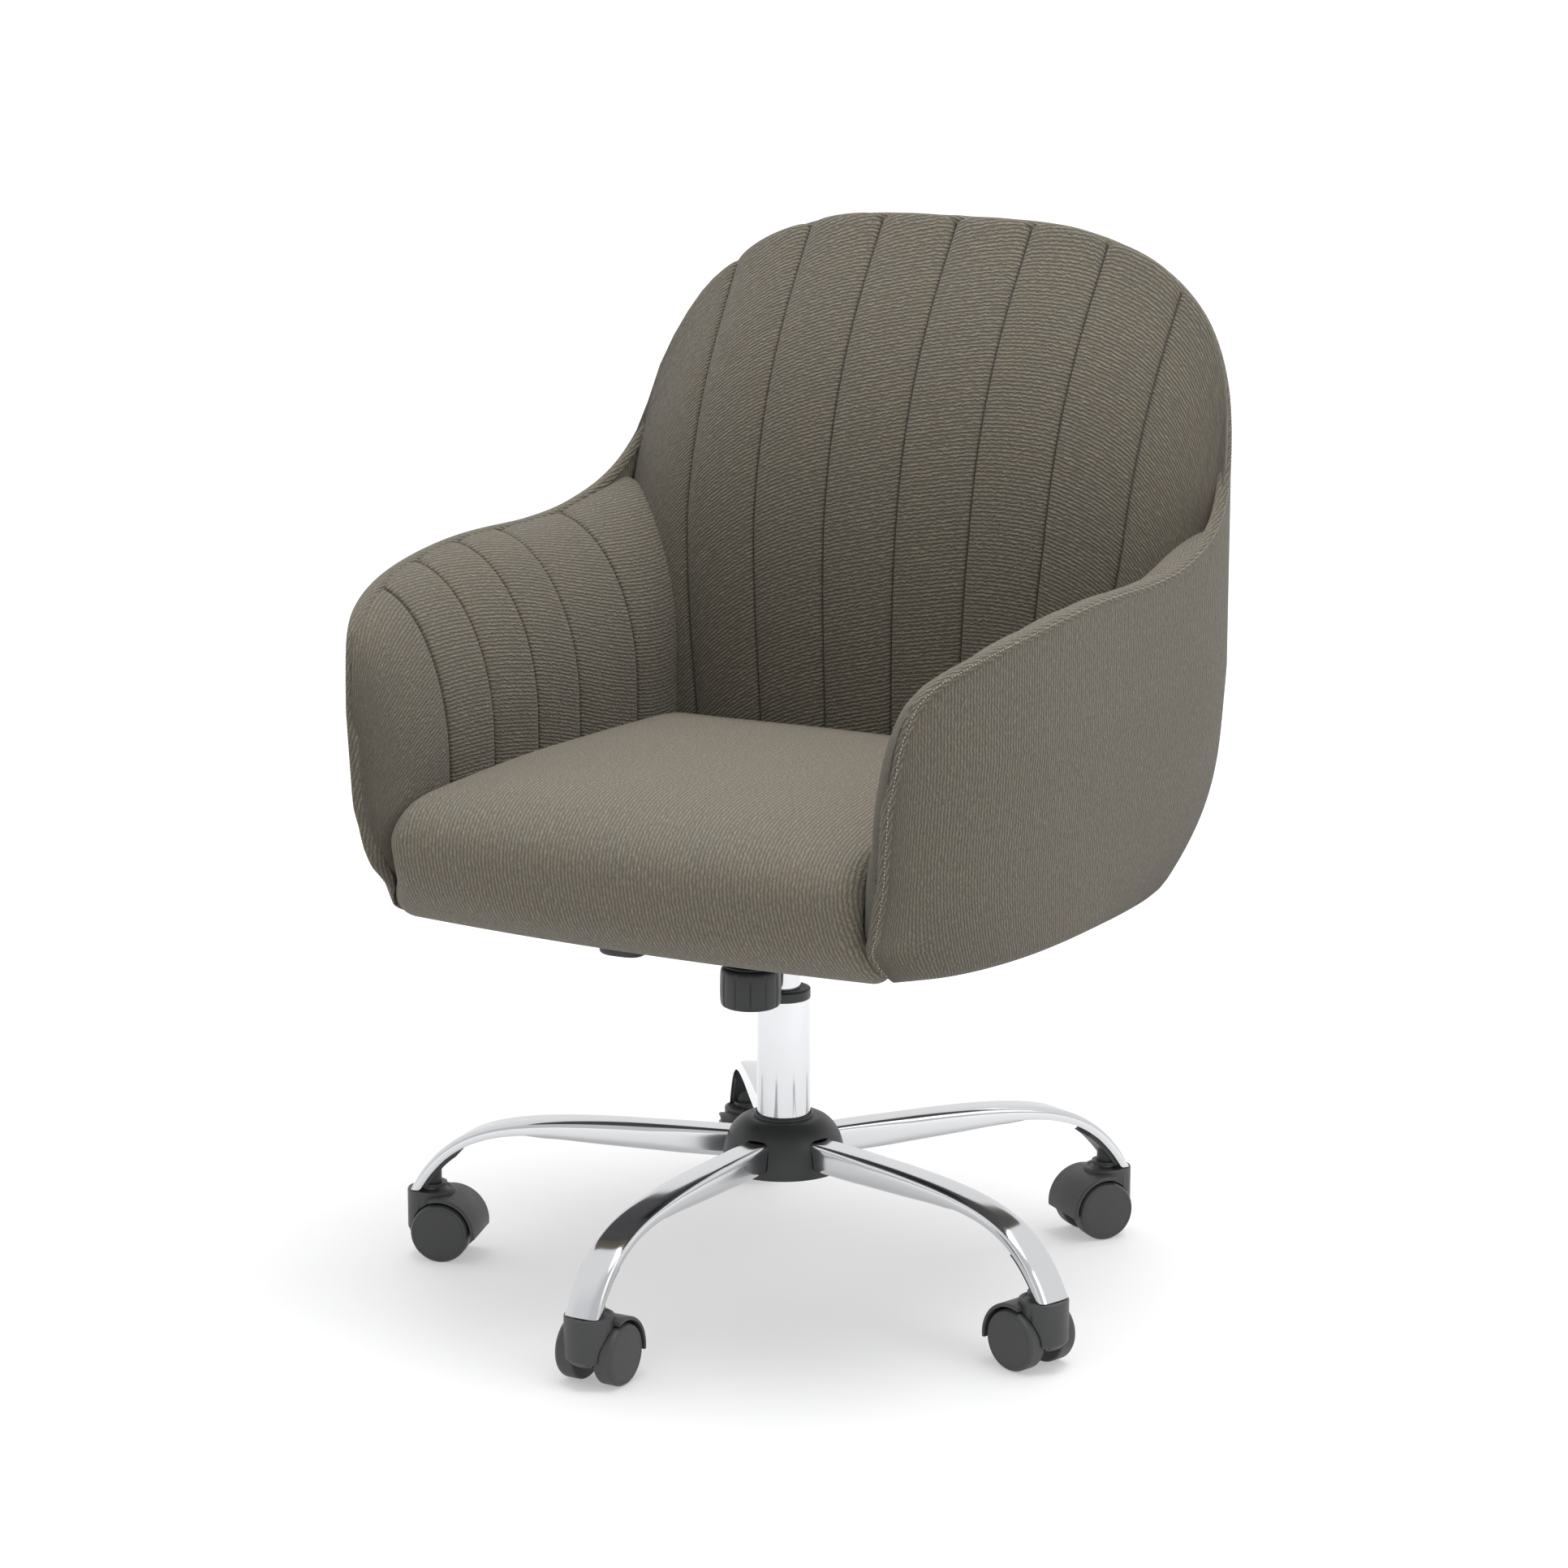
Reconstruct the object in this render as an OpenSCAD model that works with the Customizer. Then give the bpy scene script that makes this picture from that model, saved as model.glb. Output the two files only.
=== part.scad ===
// Swivel office chair: upholstered bucket seat on a tilting gas-lift column and a five-arm caster base.
// Millimetres, +Z up. The origin is on the floor under the column, and the chair faces -Y.

/* [Bucket seat] */
// Widest width of the outer shell, across the arms
shell_w = 594; // [586:1:600]
// Height of the shell's lower edge above the floor, with the column at its lowest
shell_z = 332; // [330:1:334]
// Thickness of the shell's wall
shell_t = 8; // [6:1:9]
// Clear width between the two arm pads
seat_w = 420; // [410:1:424]
// Height of the seat cushion's crown above the floor
seat_z = 437; // [425:1:445]
// Width of the soft band that covers the shell's rim
band_w = 11; // [9:1:12]

/* [Column] */
// Outer diameter of the chromed column tube
tube_d = 44; // [43:0.5:46]
// Height of the top of the column tube
tube_top = 241; // [238:1:242]
// Diameter of the gas spring's pressure tube
spring_tube_d = 28; // [27:0.5:28]
// Travel of the seat height adjustment, drawn at its lowest
lift_travel = 100; // [60:5:100]

/* [Tilt mechanism] */
// Diameter of the tension knob
knob_d = 50; // [44:1:52]
// Height of the ribbed part of the tension knob
knob_h = 32; // [28:1:33]
// Distance of the tension knob in front of the column
knob_y = 54; // [53:1:56]
// Height of the tilt axle
tilt_z = 304; // [302:1:306]
// Distance of the tilt axle behind the column
tilt_y = 30; // [26:1:34]

/* [Base] */
// Radius of the circle through the caster stems
stem_circle = 303; // [300:1:306]
// Width of each base arm at its caster end
arm_end_w = 30; // [28:1:31]
// Width of each base arm where it leaves the hub
arm_hub_w = 23; // [20:1:24]
// Diameter of the hub cover
cover_d = 100; // [96:1:104]

/* [Casters] */
// Diameter of each caster wheel
wheel_d = 50; // [48:1:50]
// Width of one wheel of a twin caster
wheel_w = 16.4; // [15:0.2:16.4]
// Gap between the two wheels of a caster
wheel_gap = 19.2; // [19:0.2:20]
// Distance of the wheel axle behind the stem
trail = 13; // [12:0.5:14]

/* [Hidden] */
$fn = 64;
arm_angles = [for (k = [0:4]) -90 + 72 * k];

// Bucket seat: the plan is a superellipse about mid_y, slimmer to the front than to the back
mid_y = 20;
half_w = shell_w / 2;
front_reach = 372.6;
back_reach = 282.7;
front_power = 3;
back_power = 7;
back_taper = 0.042;
front_a = -43.4;
rim_gap = 4;
soft_gap = 2.5;
flange_w = 34;
floor_t = 8;
board_t = 12;
board_z = shell_z + floor_t;
cushion_z = board_z + board_t;
arm_roll_h = 140;
arm_roll_l = 52;
arm_roll_low = 12;
back_roll_h = 400;
back_face_y = 181;
// Rim height above the floor against the plan angle: 0 at the side, 90 at the middle of the back
rim_pts = [[-43.4, 480], [-42, 526], [-39.4, 559], [-33, 579], [-22, 594], [-8, 602.5], [12, 602],
    [24, 609], [33.3, 629], [39, 666], [43.6, 727], [50, 788], [58, 827], [70, 848], [90, 852]];

// Column and mechanism heights
hub_z0 = 97.5;
hub_z1 = 138;
bush_h = 8;
bush_depth = 51;
rod_r = 5;
tube_foot_z = 112;
boss_z0 = 275;
boss_z1 = 308;
valve_z = boss_z1 + 4;
tray_z0 = 285;
tray_z1 = 318;
tray_w = 80;
tray_t = 2.5;
tray_y0 = -78;
tray_y1 = 78;
plate_z0 = board_z - 4;
plate_w = 190;
plate_y0 = -92;
plate_y1 = 92;
bolt_x = 78;
bolt_y = [-76, 76];
knob_z = 246;
tongue_z0 = 292;
tongue_t = 3;
nut_z0 = 320;
nut_t = 6;
lever_pivot = [-46, 0, 314];
axle_r = 4;
running = 0.05;

// ---------- curve helpers ----------
function slope(p, i) = let (a = max(i - 1, 0), b = min(i + 1, len(p) - 1))
    (p[b][1] - p[a][1]) / (p[b][0] - p[a][0]);
function seg_of(p, x, i = 0) = i >= len(p) - 2 || x < p[i + 1][0] ? i : seg_of(p, x, i + 1);
// Smooth curve y(x) through the points p
function curve_at(p, x) = let (i = seg_of(p, x), w = p[i + 1][0] - p[i][0], t = (x - p[i][0]) / w,
    s = t * t * (3 - 2 * t))
    p[i][1] * (1 - s) + p[i + 1][1] * s
    + w * t * (1 - t) * (slope(p, i) * (1 - t) - slope(p, i + 1) * t);
// Smooth path through the points p, n steps in each stretch
function path_pt(p, i, t) = let (a = p[max(i - 1, 0)], b = p[i], c = p[i + 1], d = p[min(i + 2, len(p) - 1)])
    0.5 * (2 * b + (c - a) * t + (2 * a - 5 * b + 4 * c - d) * t * t + (3 * b - a - 3 * c + d) * t * t * t);
function smooth_path(p, n) = concat(
    [for (i = [0:len(p) - 2], s = [0:n - 1]) path_pt(p, i, s / n)], [p[len(p) - 1]]);
function mix(a, b, t) = a + (b - a) * t;
function unit(v) = v / norm(v);

// ---------- bucket seat surfaces ----------
// How far a wall has come out of the rounded lower edge at height z: 1 at the edge, 0 above it
function tuck(z, height, power) = pow(max(0, 1 - max(0, z - shell_z) / height), power);
function width_k(z) = 1 - 0.045 * tuck(z, 170, 1);
function depth_k(z, back) = back ? 1 - 0.46 * tuck(z, 142, 3.4) : 1 - 0.155 * tuck(z, 110, 2.2);
function rim_z(a) = curve_at(rim_pts, a);
// Point of the plan outline at angle a and height z, moved inwards by inset
function plan_pt(a, z, inset) = let (
    back = a > 0, n = back ? back_power : front_power,
    r = pow(pow(abs(cos(a)), n) + pow(abs(sin(a)), n), -1 / n),
    t = r * sin(a), taper = back ? 1 - back_taper * t * t : 1,
    reach = (back ? back_reach : front_reach) * depth_k(z, back))
    [r * cos(a) * (half_w * taper * width_k(z) - inset), mid_y + t * (reach - inset)];
// Half width of the wall at depth y, and depth of the back wall at half width x
function wall_x(y, z, inset) = let (
    back = y > mid_y, n = back ? back_power : front_power,
    t = abs(y - mid_y) / ((back ? back_reach : front_reach) * depth_k(z, back) - inset),
    taper = back ? 1 - back_taper * t * t : 1)
    (half_w * taper * width_k(z) - inset) * pow(max(0, 1 - pow(t, n)), 1 / n);
function wall_y(x, z, inset) = let (q = min(0.995, abs(x) / (half_w * 0.968 * width_k(z) - inset)))
    mid_y + (back_reach * depth_k(z, true) - inset) * pow(1 - pow(q, back_power), 1 / back_power);
function angle_of_y(y) = let (back = y > mid_y, n = back ? back_power : front_power,
    t = (y - mid_y) / (back ? back_reach : front_reach))
    max(front_a, atan2(t, pow(1 - pow(abs(t), n), 1 / n)));
function angle_of_x(x) = let (q = min(0.999, abs(x) / (half_w * 0.968)))
    atan2(pow(1 - pow(q, back_power), 1 / back_power), q);
// Front edge of the arms at height z
function front_y(z) = plan_pt(front_a, z, 0)[1];
// Length of the roll behind the front edge: short near the cushion, longer above it
function roll_l(z) = mix(arm_roll_low, arm_roll_l, min(1, max(0, (z - 375) / 70)));
// Inner face of an arm pad: rolls in from the rim, and back from the front edge
function arm_face_x(y, z) = let (
    u = min(1, max(0, (rim_z(angle_of_y(y)) - z) / arm_roll_h)),
    v = min(1, max(0, (y - front_y(z)) / roll_l(z))),
    g = sqrt(1 - pow(1 - u, 2)) * sqrt(1 - pow(1 - v, 2)), x = wall_x(y, z, 0))
    x - (x - seat_w / 2) * g;
// Front face of the back pad
function back_face(x, z) = let (
    top = rim_z(angle_of_x(x)), y = wall_y(x, 852, 0),
    u = min(1, max(0, (top - z) / back_roll_h)))
    y - (y - back_face_y) * (1 - pow(1 - u, 3));

// ---------- lofts ----------
function flat(l) = [for (a = l, b = a) b];
function quad(a, b, c, d) = [[a, b, c], [a, c, d]];
// Solid through closed loops of equal length. Each loop runs up one side and down the other,
// so the ends close with strips between its two sides.
module loft(loops) {
    rows = len(loops);
    n = len(loops[0]);
    sides = flat([for (i = [0:rows - 2], j = [0:n - 1]) let (k = (j + 1) % n)
        quad(i * n + j, i * n + k, (i + 1) * n + k, (i + 1) * n + j)]);
    ends = flat([for (j = [0:n / 2 - 2]) let (e = (rows - 1) * n) concat(
        quad(j, n - 1 - j, n - 2 - j, j + 1),
        quad(e + j, e + j + 1, e + n - 2 - j, e + n - 1 - j))]);
    polyhedron(points = flat(loops), faces = concat(sides, ends), convexity = 6);
}
function mirror_x(loop) = [for (p = loop) [-p[0], p[1], p[2]]];

// ---------- base ----------
// Side outline of a base arm, as distance from the column and height: upper and lower edges in pairs
arm_top = smooth_path([[30, 127], [90, 128], [150, 128], [200, 125.5], [240, 119.5], [270, 109], [292, 94],
    [308, 76], [318, 59]], 6);
arm_low = smooth_path([[30, 104], [90, 104.5], [150, 107], [200, 109.5], [236, 107], [262, 99.5], [281, 88],
    [295, 74], [306, 59]], 6);
arm_n = len(arm_top);
function arm_pt(i, f) = mix(arm_top[i], arm_low[i], f);
function arm_band(i0, i1, f0, f1) = concat([for (i = [i0:i1]) arm_pt(i, f0)],
    [for (i = [i1:-1:i0]) arm_pt(i, f1)]);
module arm_slab(i0, i1, f0, f1, w)
    rotate([90, 0, 0]) linear_extrude(w, center = true) polygon(arm_band(i0, i1, f0, f1));
module base_arm(k) color([0.86, 0.87, 0.89]) rotate([0, 0, arm_angles[k]]) {
    open_i = 27;
    difference() {
        intersection() {
            arm_slab(0, arm_n - 1, 0, 1, arm_end_w + 4);
            translate([0, 0, 50]) linear_extrude(90) polygon([[20, -arm_hub_w / 2], [220, -arm_end_w / 2],
                [330, -arm_end_w / 2], [330, arm_end_w / 2], [220, arm_end_w / 2], [20, arm_hub_w / 2]]);
        }
        arm_slab(8, open_i - 2, 0.12, 0.88, arm_hub_w - 5);
        arm_slab(open_i, arm_n - 1, 0.18, 1.4, arm_end_w - 4.4);
        translate([300, 0, 52]) cube([60, arm_end_w - 4.4, 8], center = true);
        cylinder(r = 36, h = 200);
    }
}
module base_hub() color([0.45, 0.46, 0.48]) rotate_extrude()
    polygon([[tube_d / 2 - 1.1, hub_z0], [36, hub_z0], [36, 130], [30, hub_z1], [tube_d / 2, hub_z1]]);
module hub_cover() color([0.16, 0.16, 0.165]) {
    r = cover_d / 2;
    wall = 2.4;
    shoulder = 106;
    neck = 27;
    top = hub_z1 + 0.4;
    arch_w = arm_hub_w / 2 + 3;
    arch_z = 130.6;
    difference() {
        rotate_extrude() polygon(concat(
            [[r, hub_z0]],
            [for (t = [0:6:90]) [neck + (r - neck) * cos(t), shoulder + (top + wall - shoulder) * sin(t)]],
            [[23.6, top + wall], [23.6, top + 3.6], [tube_d / 2 + 0.3, top + 3.6], [tube_d / 2 + 0.3, top]],
            [for (t = [90:-6:0]) [neck + 3.5 + (r - wall - neck - 3.5) * cos(t),
                shoulder + (top - shoulder) * sin(t)]],
            [[r - wall, hub_z0]]));
        // One arched opening over each arm
        for (a = arm_angles) rotate([0, 0, a]) translate([36.1, 0, 0]) rotate([90, 0, 90])
            linear_extrude(30) polygon([[-arch_w, hub_z0 + 5], [arch_w, hub_z0 + 5], [arch_w, arch_z - 4],
                [arch_w - 1.2, arch_z - 1.4], [arch_w - 4, arch_z], [4 - arch_w, arch_z],
                [1.2 - arch_w, arch_z - 1.4], [-arch_w, arch_z - 4]]);
    }
}
module at_stems() for (a = arm_angles) rotate([0, 0, a]) translate([stem_circle, 0, 0]) children();
module caster_stems() color([0.62, 0.63, 0.65]) at_stems() {
    translate([0, 0, 34]) cylinder(r = 5.5 - running, h = 24.6);
    translate([0, 0, 58.6]) cylinder(r = 7.5, h = 1.6);
    translate([0, 0, 60.2]) cylinder(r = 5.5, h = 9);
    translate([0, 0, 69.2]) cylinder(r1 = 5.5, r2 = 4, h = 1.8);
}
module stem_inserts() color([0.13, 0.13, 0.135]) for (a = arm_angles) rotate([0, 0, a]) difference() {
    union() {
        intersection() {
            arm_slab(35, arm_n - 1, 0.2, 1.05, arm_end_w - 4.6);
            translate([stem_circle, 0, 61]) cylinder(r = 60, h = 60);
        }
        intersection() {
            translate([stem_circle, 0, 60.4]) cylinder(r = 9, h = 24);
            arm_slab(35, arm_n - 1, 0.2, 3, arm_end_w - 4.6);
        }
        translate([stem_circle - 2, 0, 60.4]) intersection() {
            cylinder(r = 11.5, h = 3);
            translate([-20, 0, 0]) cube([44, 25, 8], center = true);
        }
    }
    translate([stem_circle, 0, 50]) cylinder(r = 5.5, h = 21.2);
}

// ---------- casters: +X is outwards, the wheels trail towards the column ----------
module wheel_axis() translate([-trail, 0, wheel_d / 2]) rotate([-90, 0, 0]) children();
module at_caster(k) rotate([0, 0, arm_angles[k]]) translate([stem_circle, 0, 0]) children();
module caster_housing(k) color([0.17, 0.175, 0.175]) at_caster(k) {
    head_r = 20;
    hood_r = wheel_d / 2 + 5.3;
    hood_t = 3;
    well_r = wheel_d / 2 + 1.2;
    hood_w = wheel_gap + 2 * wheel_w;
    difference() {
        union() {
            rotate_extrude() polygon([[0, 20], [head_r - 5, 20], [head_r - 1.5, 21.5], [head_r, 23.5],
                [head_r, 57.2], [head_r - 1, 58.2], [0, 58.2]]);
            wheel_axis() cylinder(r = 15, h = wheel_gap - 1.2, center = true);
            wheel_axis() difference() {
                cylinder(r = hood_r, h = hood_w, center = true);
                cylinder(r = hood_r - hood_t, h = hood_w + 2, center = true);
                translate([0, 24 + 3, 0]) cube([80, 48, hood_w + 2], center = true);
                translate([30 + 6, 0, 0]) cube([60, 90, hood_w + 2], center = true);
            }
            wheel_axis() difference() {
                cylinder(r = hood_r - 0.5, h = wheel_gap - 1.6, center = true);
                translate([0, 24 + 3, 0]) cube([80, 48, 40], center = true);
            }
        }
        for (s = [-1, 1]) wheel_axis() translate([0, 0, s * (wheel_gap / 2 - 0.3 + 10)])
            cylinder(r = well_r, h = 20, center = true);
        wheel_axis() cylinder(r = axle_r, h = 60, center = true);
        translate([0, 0, 33]) cylinder(r = 5.5, h = 30);
    }
}
module caster_axle(k) color([0.62, 0.63, 0.65]) at_caster(k)
    wheel_axis() cylinder(r = axle_r, h = wheel_gap + 23, center = true);
module wheel(k, side) color([0.15, 0.155, 0.155]) at_caster(k) wheel_axis()
    mirror([0, 0, side < 0 ? 1 : 0]) translate([0, 0, wheel_gap / 2]) rotate_extrude() {
        r = wheel_d / 2;
        w = wheel_w;
        polygon([[axle_r + running, 0], [8, 0], [8, 5], [19, 5], [19, 0], [r - 2, 0], [r - 0.6, 0.6], [r, 2],
            [r, w - 4], [r - 0.7, w - 2.2], [r - 2.2, w - 0.8], [r - 3.4, w], [r - 4.6, w],
            [r - 5.4, w - 0.9],
            [0, w - 0.9], [0, 12.4], [axle_r + running, 12.4]]);
    }

// ---------- column ----------
module column_tube() color([0.87, 0.88, 0.9]) {
    foot = hub_z0 - 1.5;
    rotate_extrude() polygon([[rod_r + 0.4, foot], [tube_d / 2 - 1.1 - 0.04, foot],
        [tube_d / 2 - 1.1, hub_z0], [tube_d / 2, hub_z1], [tube_d / 2, tube_top],
        [tube_d / 2 - 3, tube_top], [tube_d / 2 - 3, foot + 3], [rod_r + 0.4, foot + 3]]);
}
module column_bushing() color([0.1, 0.1, 0.105]) rotate_extrude() {
    r = spring_tube_d / 2 + running;
    polygon([[r, tube_top - bush_depth], [tube_d / 2 - 3, tube_top - bush_depth], [tube_d / 2 - 3, tube_top],
        [tube_d / 2, tube_top], [tube_d / 2, tube_top + bush_h - 1], [tube_d / 2 - 1, tube_top + bush_h],
        [r, tube_top + bush_h]]);
}
module thrust_bearing() color([0.6, 0.61, 0.63]) rotate_extrude()
    polygon([[rod_r + 0.3, hub_z0 + 1.5], [15, hub_z0 + 1.5], [15, hub_z0 + 7], [rod_r + 0.3, hub_z0 + 7]]);
module piston_rod() color([0.75, 0.76, 0.78]) {
    head_z = tube_foot_z + 14 + lift_travel + 2;
    rotate_extrude() polygon([[0, 91], [rod_r, 91], [rod_r, 104.7], [8, 104.7], [8, 108], [rod_r, 108],
        [rod_r, head_z], [12.3, head_z], [12.3, head_z + 9], [0, head_z + 9]]);
}
module retaining_clip() color([0.5, 0.51, 0.53]) translate([0, 0, 92.6]) difference() {
    cylinder(r = 9, h = 1.5);
    translate([0, 0, -1]) cylinder(r = rod_r, h = 4);
    translate([0, -3, -1]) cube([20, 6, 4]);
}
module pressure_tube() color([0.87, 0.88, 0.9]) {
    r = spring_tube_d / 2;
    bore = 12.4 + 0.05;
    cap_z = boss_z1 - 20;
    rotate_extrude() polygon([[bore, tube_foot_z], [r, tube_foot_z], [r, boss_z0], [r - 0.8, boss_z1],
        [3 + running, boss_z1], [3 + running, cap_z], [bore, cap_z]]);
}
module rod_guide() color([0.2, 0.2, 0.21]) translate([0, 0, tube_foot_z]) difference() {
    cylinder(r = 12.45, h = 12);
    translate([0, 0, -1]) cylinder(r = rod_r + running, h = 14);
}
module valve_pin() color([0.55, 0.5, 0.3]) translate([0, 0, boss_z1 - 14])
    cylinder(r = 3, h = valve_z - boss_z1 + 14);

// ---------- tilt mechanism ----------
module taper_boss() color([0.14, 0.14, 0.145]) {
    r = spring_tube_d / 2;
    rotate_extrude() polygon([[r, boss_z0], [20, boss_z0], [20, boss_z1], [r - 0.8, boss_z1]]);
}
module mech_tray() color([0.14, 0.14, 0.145]) difference() {
    h = tray_z1 - tray_z0;
    union() {
        difference() {
            translate([-tray_w / 2, tray_y0, tray_z0]) cube([tray_w, tray_y1 - tray_y0, h]);
            translate([-tray_w / 2 + tray_t, tray_y0 + tray_t, tray_z0 + tray_t])
                cube([tray_w - 2 * tray_t, tray_y1 - tray_y0 - 2 * tray_t, h]);
        }
        translate([-tray_w / 2 - 30, -11, lever_pivot[2] - 12]) cube([31, 22, 2.5]);
    }
    cylinder(r = 20, h = 400);
    translate([0, -knob_y, 200]) cylinder(r = 4 + running, h = 100);
    translate([-60, tilt_y, tilt_z]) rotate([0, 90, 0]) cylinder(r = 5, h = 120);
    translate([-tray_w / 2 - 1, -9, lever_pivot[2] - 9.5]) cube([5, 18, 30]);
    // Room for the mechanism plate as the seat reclines
    translate([-50, tray_y1 - 30, tray_z1 - 4]) rotate([-8, 0, 0]) cube([100, 50, 20]);
}
module tilt_axle() color([0.62, 0.63, 0.65]) translate([-47, tilt_y, tilt_z]) rotate([0, 90, 0]) {
    cylinder(r = 5, h = 94);
    translate([0, 0, -2]) cylinder(r = 7, h = 2);
    translate([0, 0, 94]) cylinder(r = 7, h = 2);
}
module mech_plate() color([0.15, 0.15, 0.155]) {
    ear_x = tray_w / 2 + 0.8;
    difference() {
        union() {
            translate([-plate_w / 2, plate_y0, plate_z0]) cube([plate_w, plate_y1 - plate_y0, 4]);
            for (s = [-1, 1]) translate([s > 0 ? ear_x : -ear_x - 4, tilt_y - 14, tilt_z]) {
                cube([4, 28, plate_z0 - tilt_z + 1]);
                translate([0, 14, 0]) rotate([0, 90, 0]) cylinder(r = 14, h = 4);
            }
            translate([-17, -knob_y - 17, tongue_z0]) cube([34, 34, tongue_t]);
            translate([-17, -knob_y + 14, tongue_z0]) cube([34, 3, plate_z0 - tongue_z0 + 1]);
        }
        translate([-60, tilt_y, tilt_z]) rotate([0, 90, 0]) cylinder(r = 5 + running, h = 120);
        translate([0, -knob_y, tongue_z0 - 1]) cylinder(r = 6, h = 6);
        for (x = [-bolt_x, bolt_x], y = bolt_y) translate([x, y, plate_z0 - 1]) cylinder(r = 3.3, h = 6);
        // Lightening window over the column
        translate([-30, -28, plate_z0 - 1]) cube([60, 44, 6]);
    }
}
module tension_knob() color([0.16, 0.16, 0.165]) translate([0, -knob_y, knob_z]) {
    r = knob_d / 2;
    flutes = 12;
    flute_d = 1.1;
    difference() {
        union() {
            // Fluted grip: the outline dips once for each flute
            translate([0, 0, 3]) linear_extrude(knob_h - 3) polygon([
                for (i = [0:flutes - 1], t = [0, 0.07, 0.3, 0.5, 0.7, 0.93])
                let (a = 360 * (i + t) / flutes, q = r - (t == 0 ? flute_d : 0)) [q * cos(a), q * sin(a)]]);
            rotate_extrude() polygon([[0, 0], [r - 4, 0], [r - 2.4, 1], [r - 1.6, 3], [0, 3]]);
            rotate_extrude() polygon([[0, knob_h], [r - 5, knob_h], [r - 5, knob_h + 1],
                [r - 2.6, knob_h + 1], [r - 2.6, knob_h + 2.4], [r - 5, knob_h + 2.4],
                [r - 5, knob_h + 3.4], [r - 3.6, knob_h + 3.4], [r - 3.6, knob_h + 5], [0, knob_h + 5]]);
        }
        translate([0, 0, 8]) cylinder(r = 4, h = 60);
    }
}
module tension_bolt() color([0.55, 0.56, 0.58]) translate([0, -knob_y, knob_z + 8])
    cylinder(r = 4, h = nut_z0 + nut_t + 3 - knob_z - 8);
module spring_nut() color([0.5, 0.51, 0.53]) difference() {
    translate([-15, -knob_y - 15, nut_z0]) cube([30, 28, nut_t]);
    translate([0, -knob_y, nut_z0 - 1]) cylinder(r = 4 + running, h = nut_t + 2);
}
// Coil round the tension bolt, between the plate's tongue and the nut
module tension_spring() color([0.3, 0.3, 0.32]) {
    coil_r = 11;
    wire_r = 1.7;
    turns = 3;
    z0 = tongue_z0 + tongue_t + wire_r + 0.2;
    z1 = nut_z0 - wire_r - 0.2;
    steps = 16 * turns;
    sides = 8;
    loops = [for (i = [0:steps]) let (a = 360 * turns * i / steps, z = mix(z0, z1, i / steps))
        [for (j = [0:sides - 1]) let (b = 360 * j / sides, r = coil_r + wire_r * cos(b))
            [r * cos(a), r * sin(a) - knob_y, z + wire_r * sin(b)]]];
    loft(loops);
}
module lever_slider() color([0.12, 0.12, 0.125]) translate(lever_pivot) difference() {
    translate([-10, -8, -9]) cube([19, 16, 14]);
    translate([-11, -5.2, -7]) cube([21, 10.4, 20]);
    rotate([90, 0, 0]) cylinder(r = 2, h = 30, center = true);
}
module lever_pin() color([0.62, 0.63, 0.65]) translate(lever_pivot) rotate([90, 0, 0])
    cylinder(r = 2, h = 16, center = true);
lever_path = [[-38, 314], [-60, 313], [-77, 306], [-95, 289], [-114, 271], [-138, 263]];
module lever_rod() color([0.2, 0.2, 0.21]) {
    route = smooth_path(lever_path, 4);
    difference() {
        union() {
            translate([lever_pivot[0] - 2, -4.5, valve_z + 0.4]) cube([52, 9, 2.8]);
            translate(lever_pivot) rotate([90, 0, 0]) cylinder(r = 4.6, h = 9, center = true);
            rotate([90, 0, 0]) linear_extrude(7, center = true) polygon(concat(
                [for (p = route) p + [1.4, 3]], [for (i = [len(route) - 1:-1:0]) route[i] - [1.4, 3]]));
        }
        translate(lever_pivot) rotate([90, 0, 0]) cylinder(r = 2 + running, h = 30, center = true);
    }
}
module lever_paddle() color([0.12, 0.12, 0.125]) translate([-154, 0, 262]) difference() {
    hull() for (x = [-8, 8]) {
        translate([x, 0, -5]) cylinder(r1 = 12, r2 = 14, h = 2, $fn = 48);
        translate([x, 0, -3]) cylinder(r = 14, h = 7, $fn = 48);
    }
    translate([6, -3.6, -2.4]) cube([40, 7.2, 20]);
}
module mech_bolts() color([0.3, 0.3, 0.32]) for (x = [-bolt_x, bolt_x], y = bolt_y) translate([x, y, 0]) {
    translate([0, 0, plate_z0 - 5]) cylinder(r = 6.4, h = 5, $fn = 6);
    translate([0, 0, plate_z0]) cylinder(r = 3, h = 14);
}
module board_nuts() color([0.62, 0.63, 0.65]) for (x = [-bolt_x, bolt_x], y = bolt_y)
    translate([x, y, board_z + 2.4]) difference() {
        union() {
            cylinder(r = 4.5, h = board_t - 2.4);
            translate([0, 0, board_t - 3.9]) cylinder(r = 9, h = 1.5);
        }
        translate([0, 0, -1]) cylinder(r = 3, h = 20);
    }

// ---------- bucket seat ----------
plan_angles = [front_a + 0.9, -40, -35, -28, -20, -10, 0, 10, 20, 28, 33, 37, 40, 43, 46, 50, 56, 64, 76, 90];
function shell_loop(a) = let (top = rim_z(a) - rim_gap, m = 11) concat(
    [for (j = [0:m]) let (z = mix(shell_z, top, pow(j / m, 1.4)), p = plan_pt(a, z, 0)) [p[0], p[1], z]],
    [for (j = [m:-1:0]) let (z = mix(board_z, top, pow(j / m, 1.4)), p = plan_pt(a, z, shell_t))
        [p[0], p[1], z]],
    [let (p = plan_pt(a, shell_z, flange_w)) [p[0], p[1], board_z]],
    [let (p = plan_pt(a, shell_z, flange_w)) [p[0], p[1], shell_z]]);
// Right half from front to back, then the left half back to the front
function both_sides(loops) = concat(loops, [for (i = [len(loops) - 2:-1:0]) mirror_x(loops[i])]);
module outer_shell() color([0.47, 0.45, 0.41]) loft(both_sides([for (a = plan_angles) shell_loop(a)]));

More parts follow.
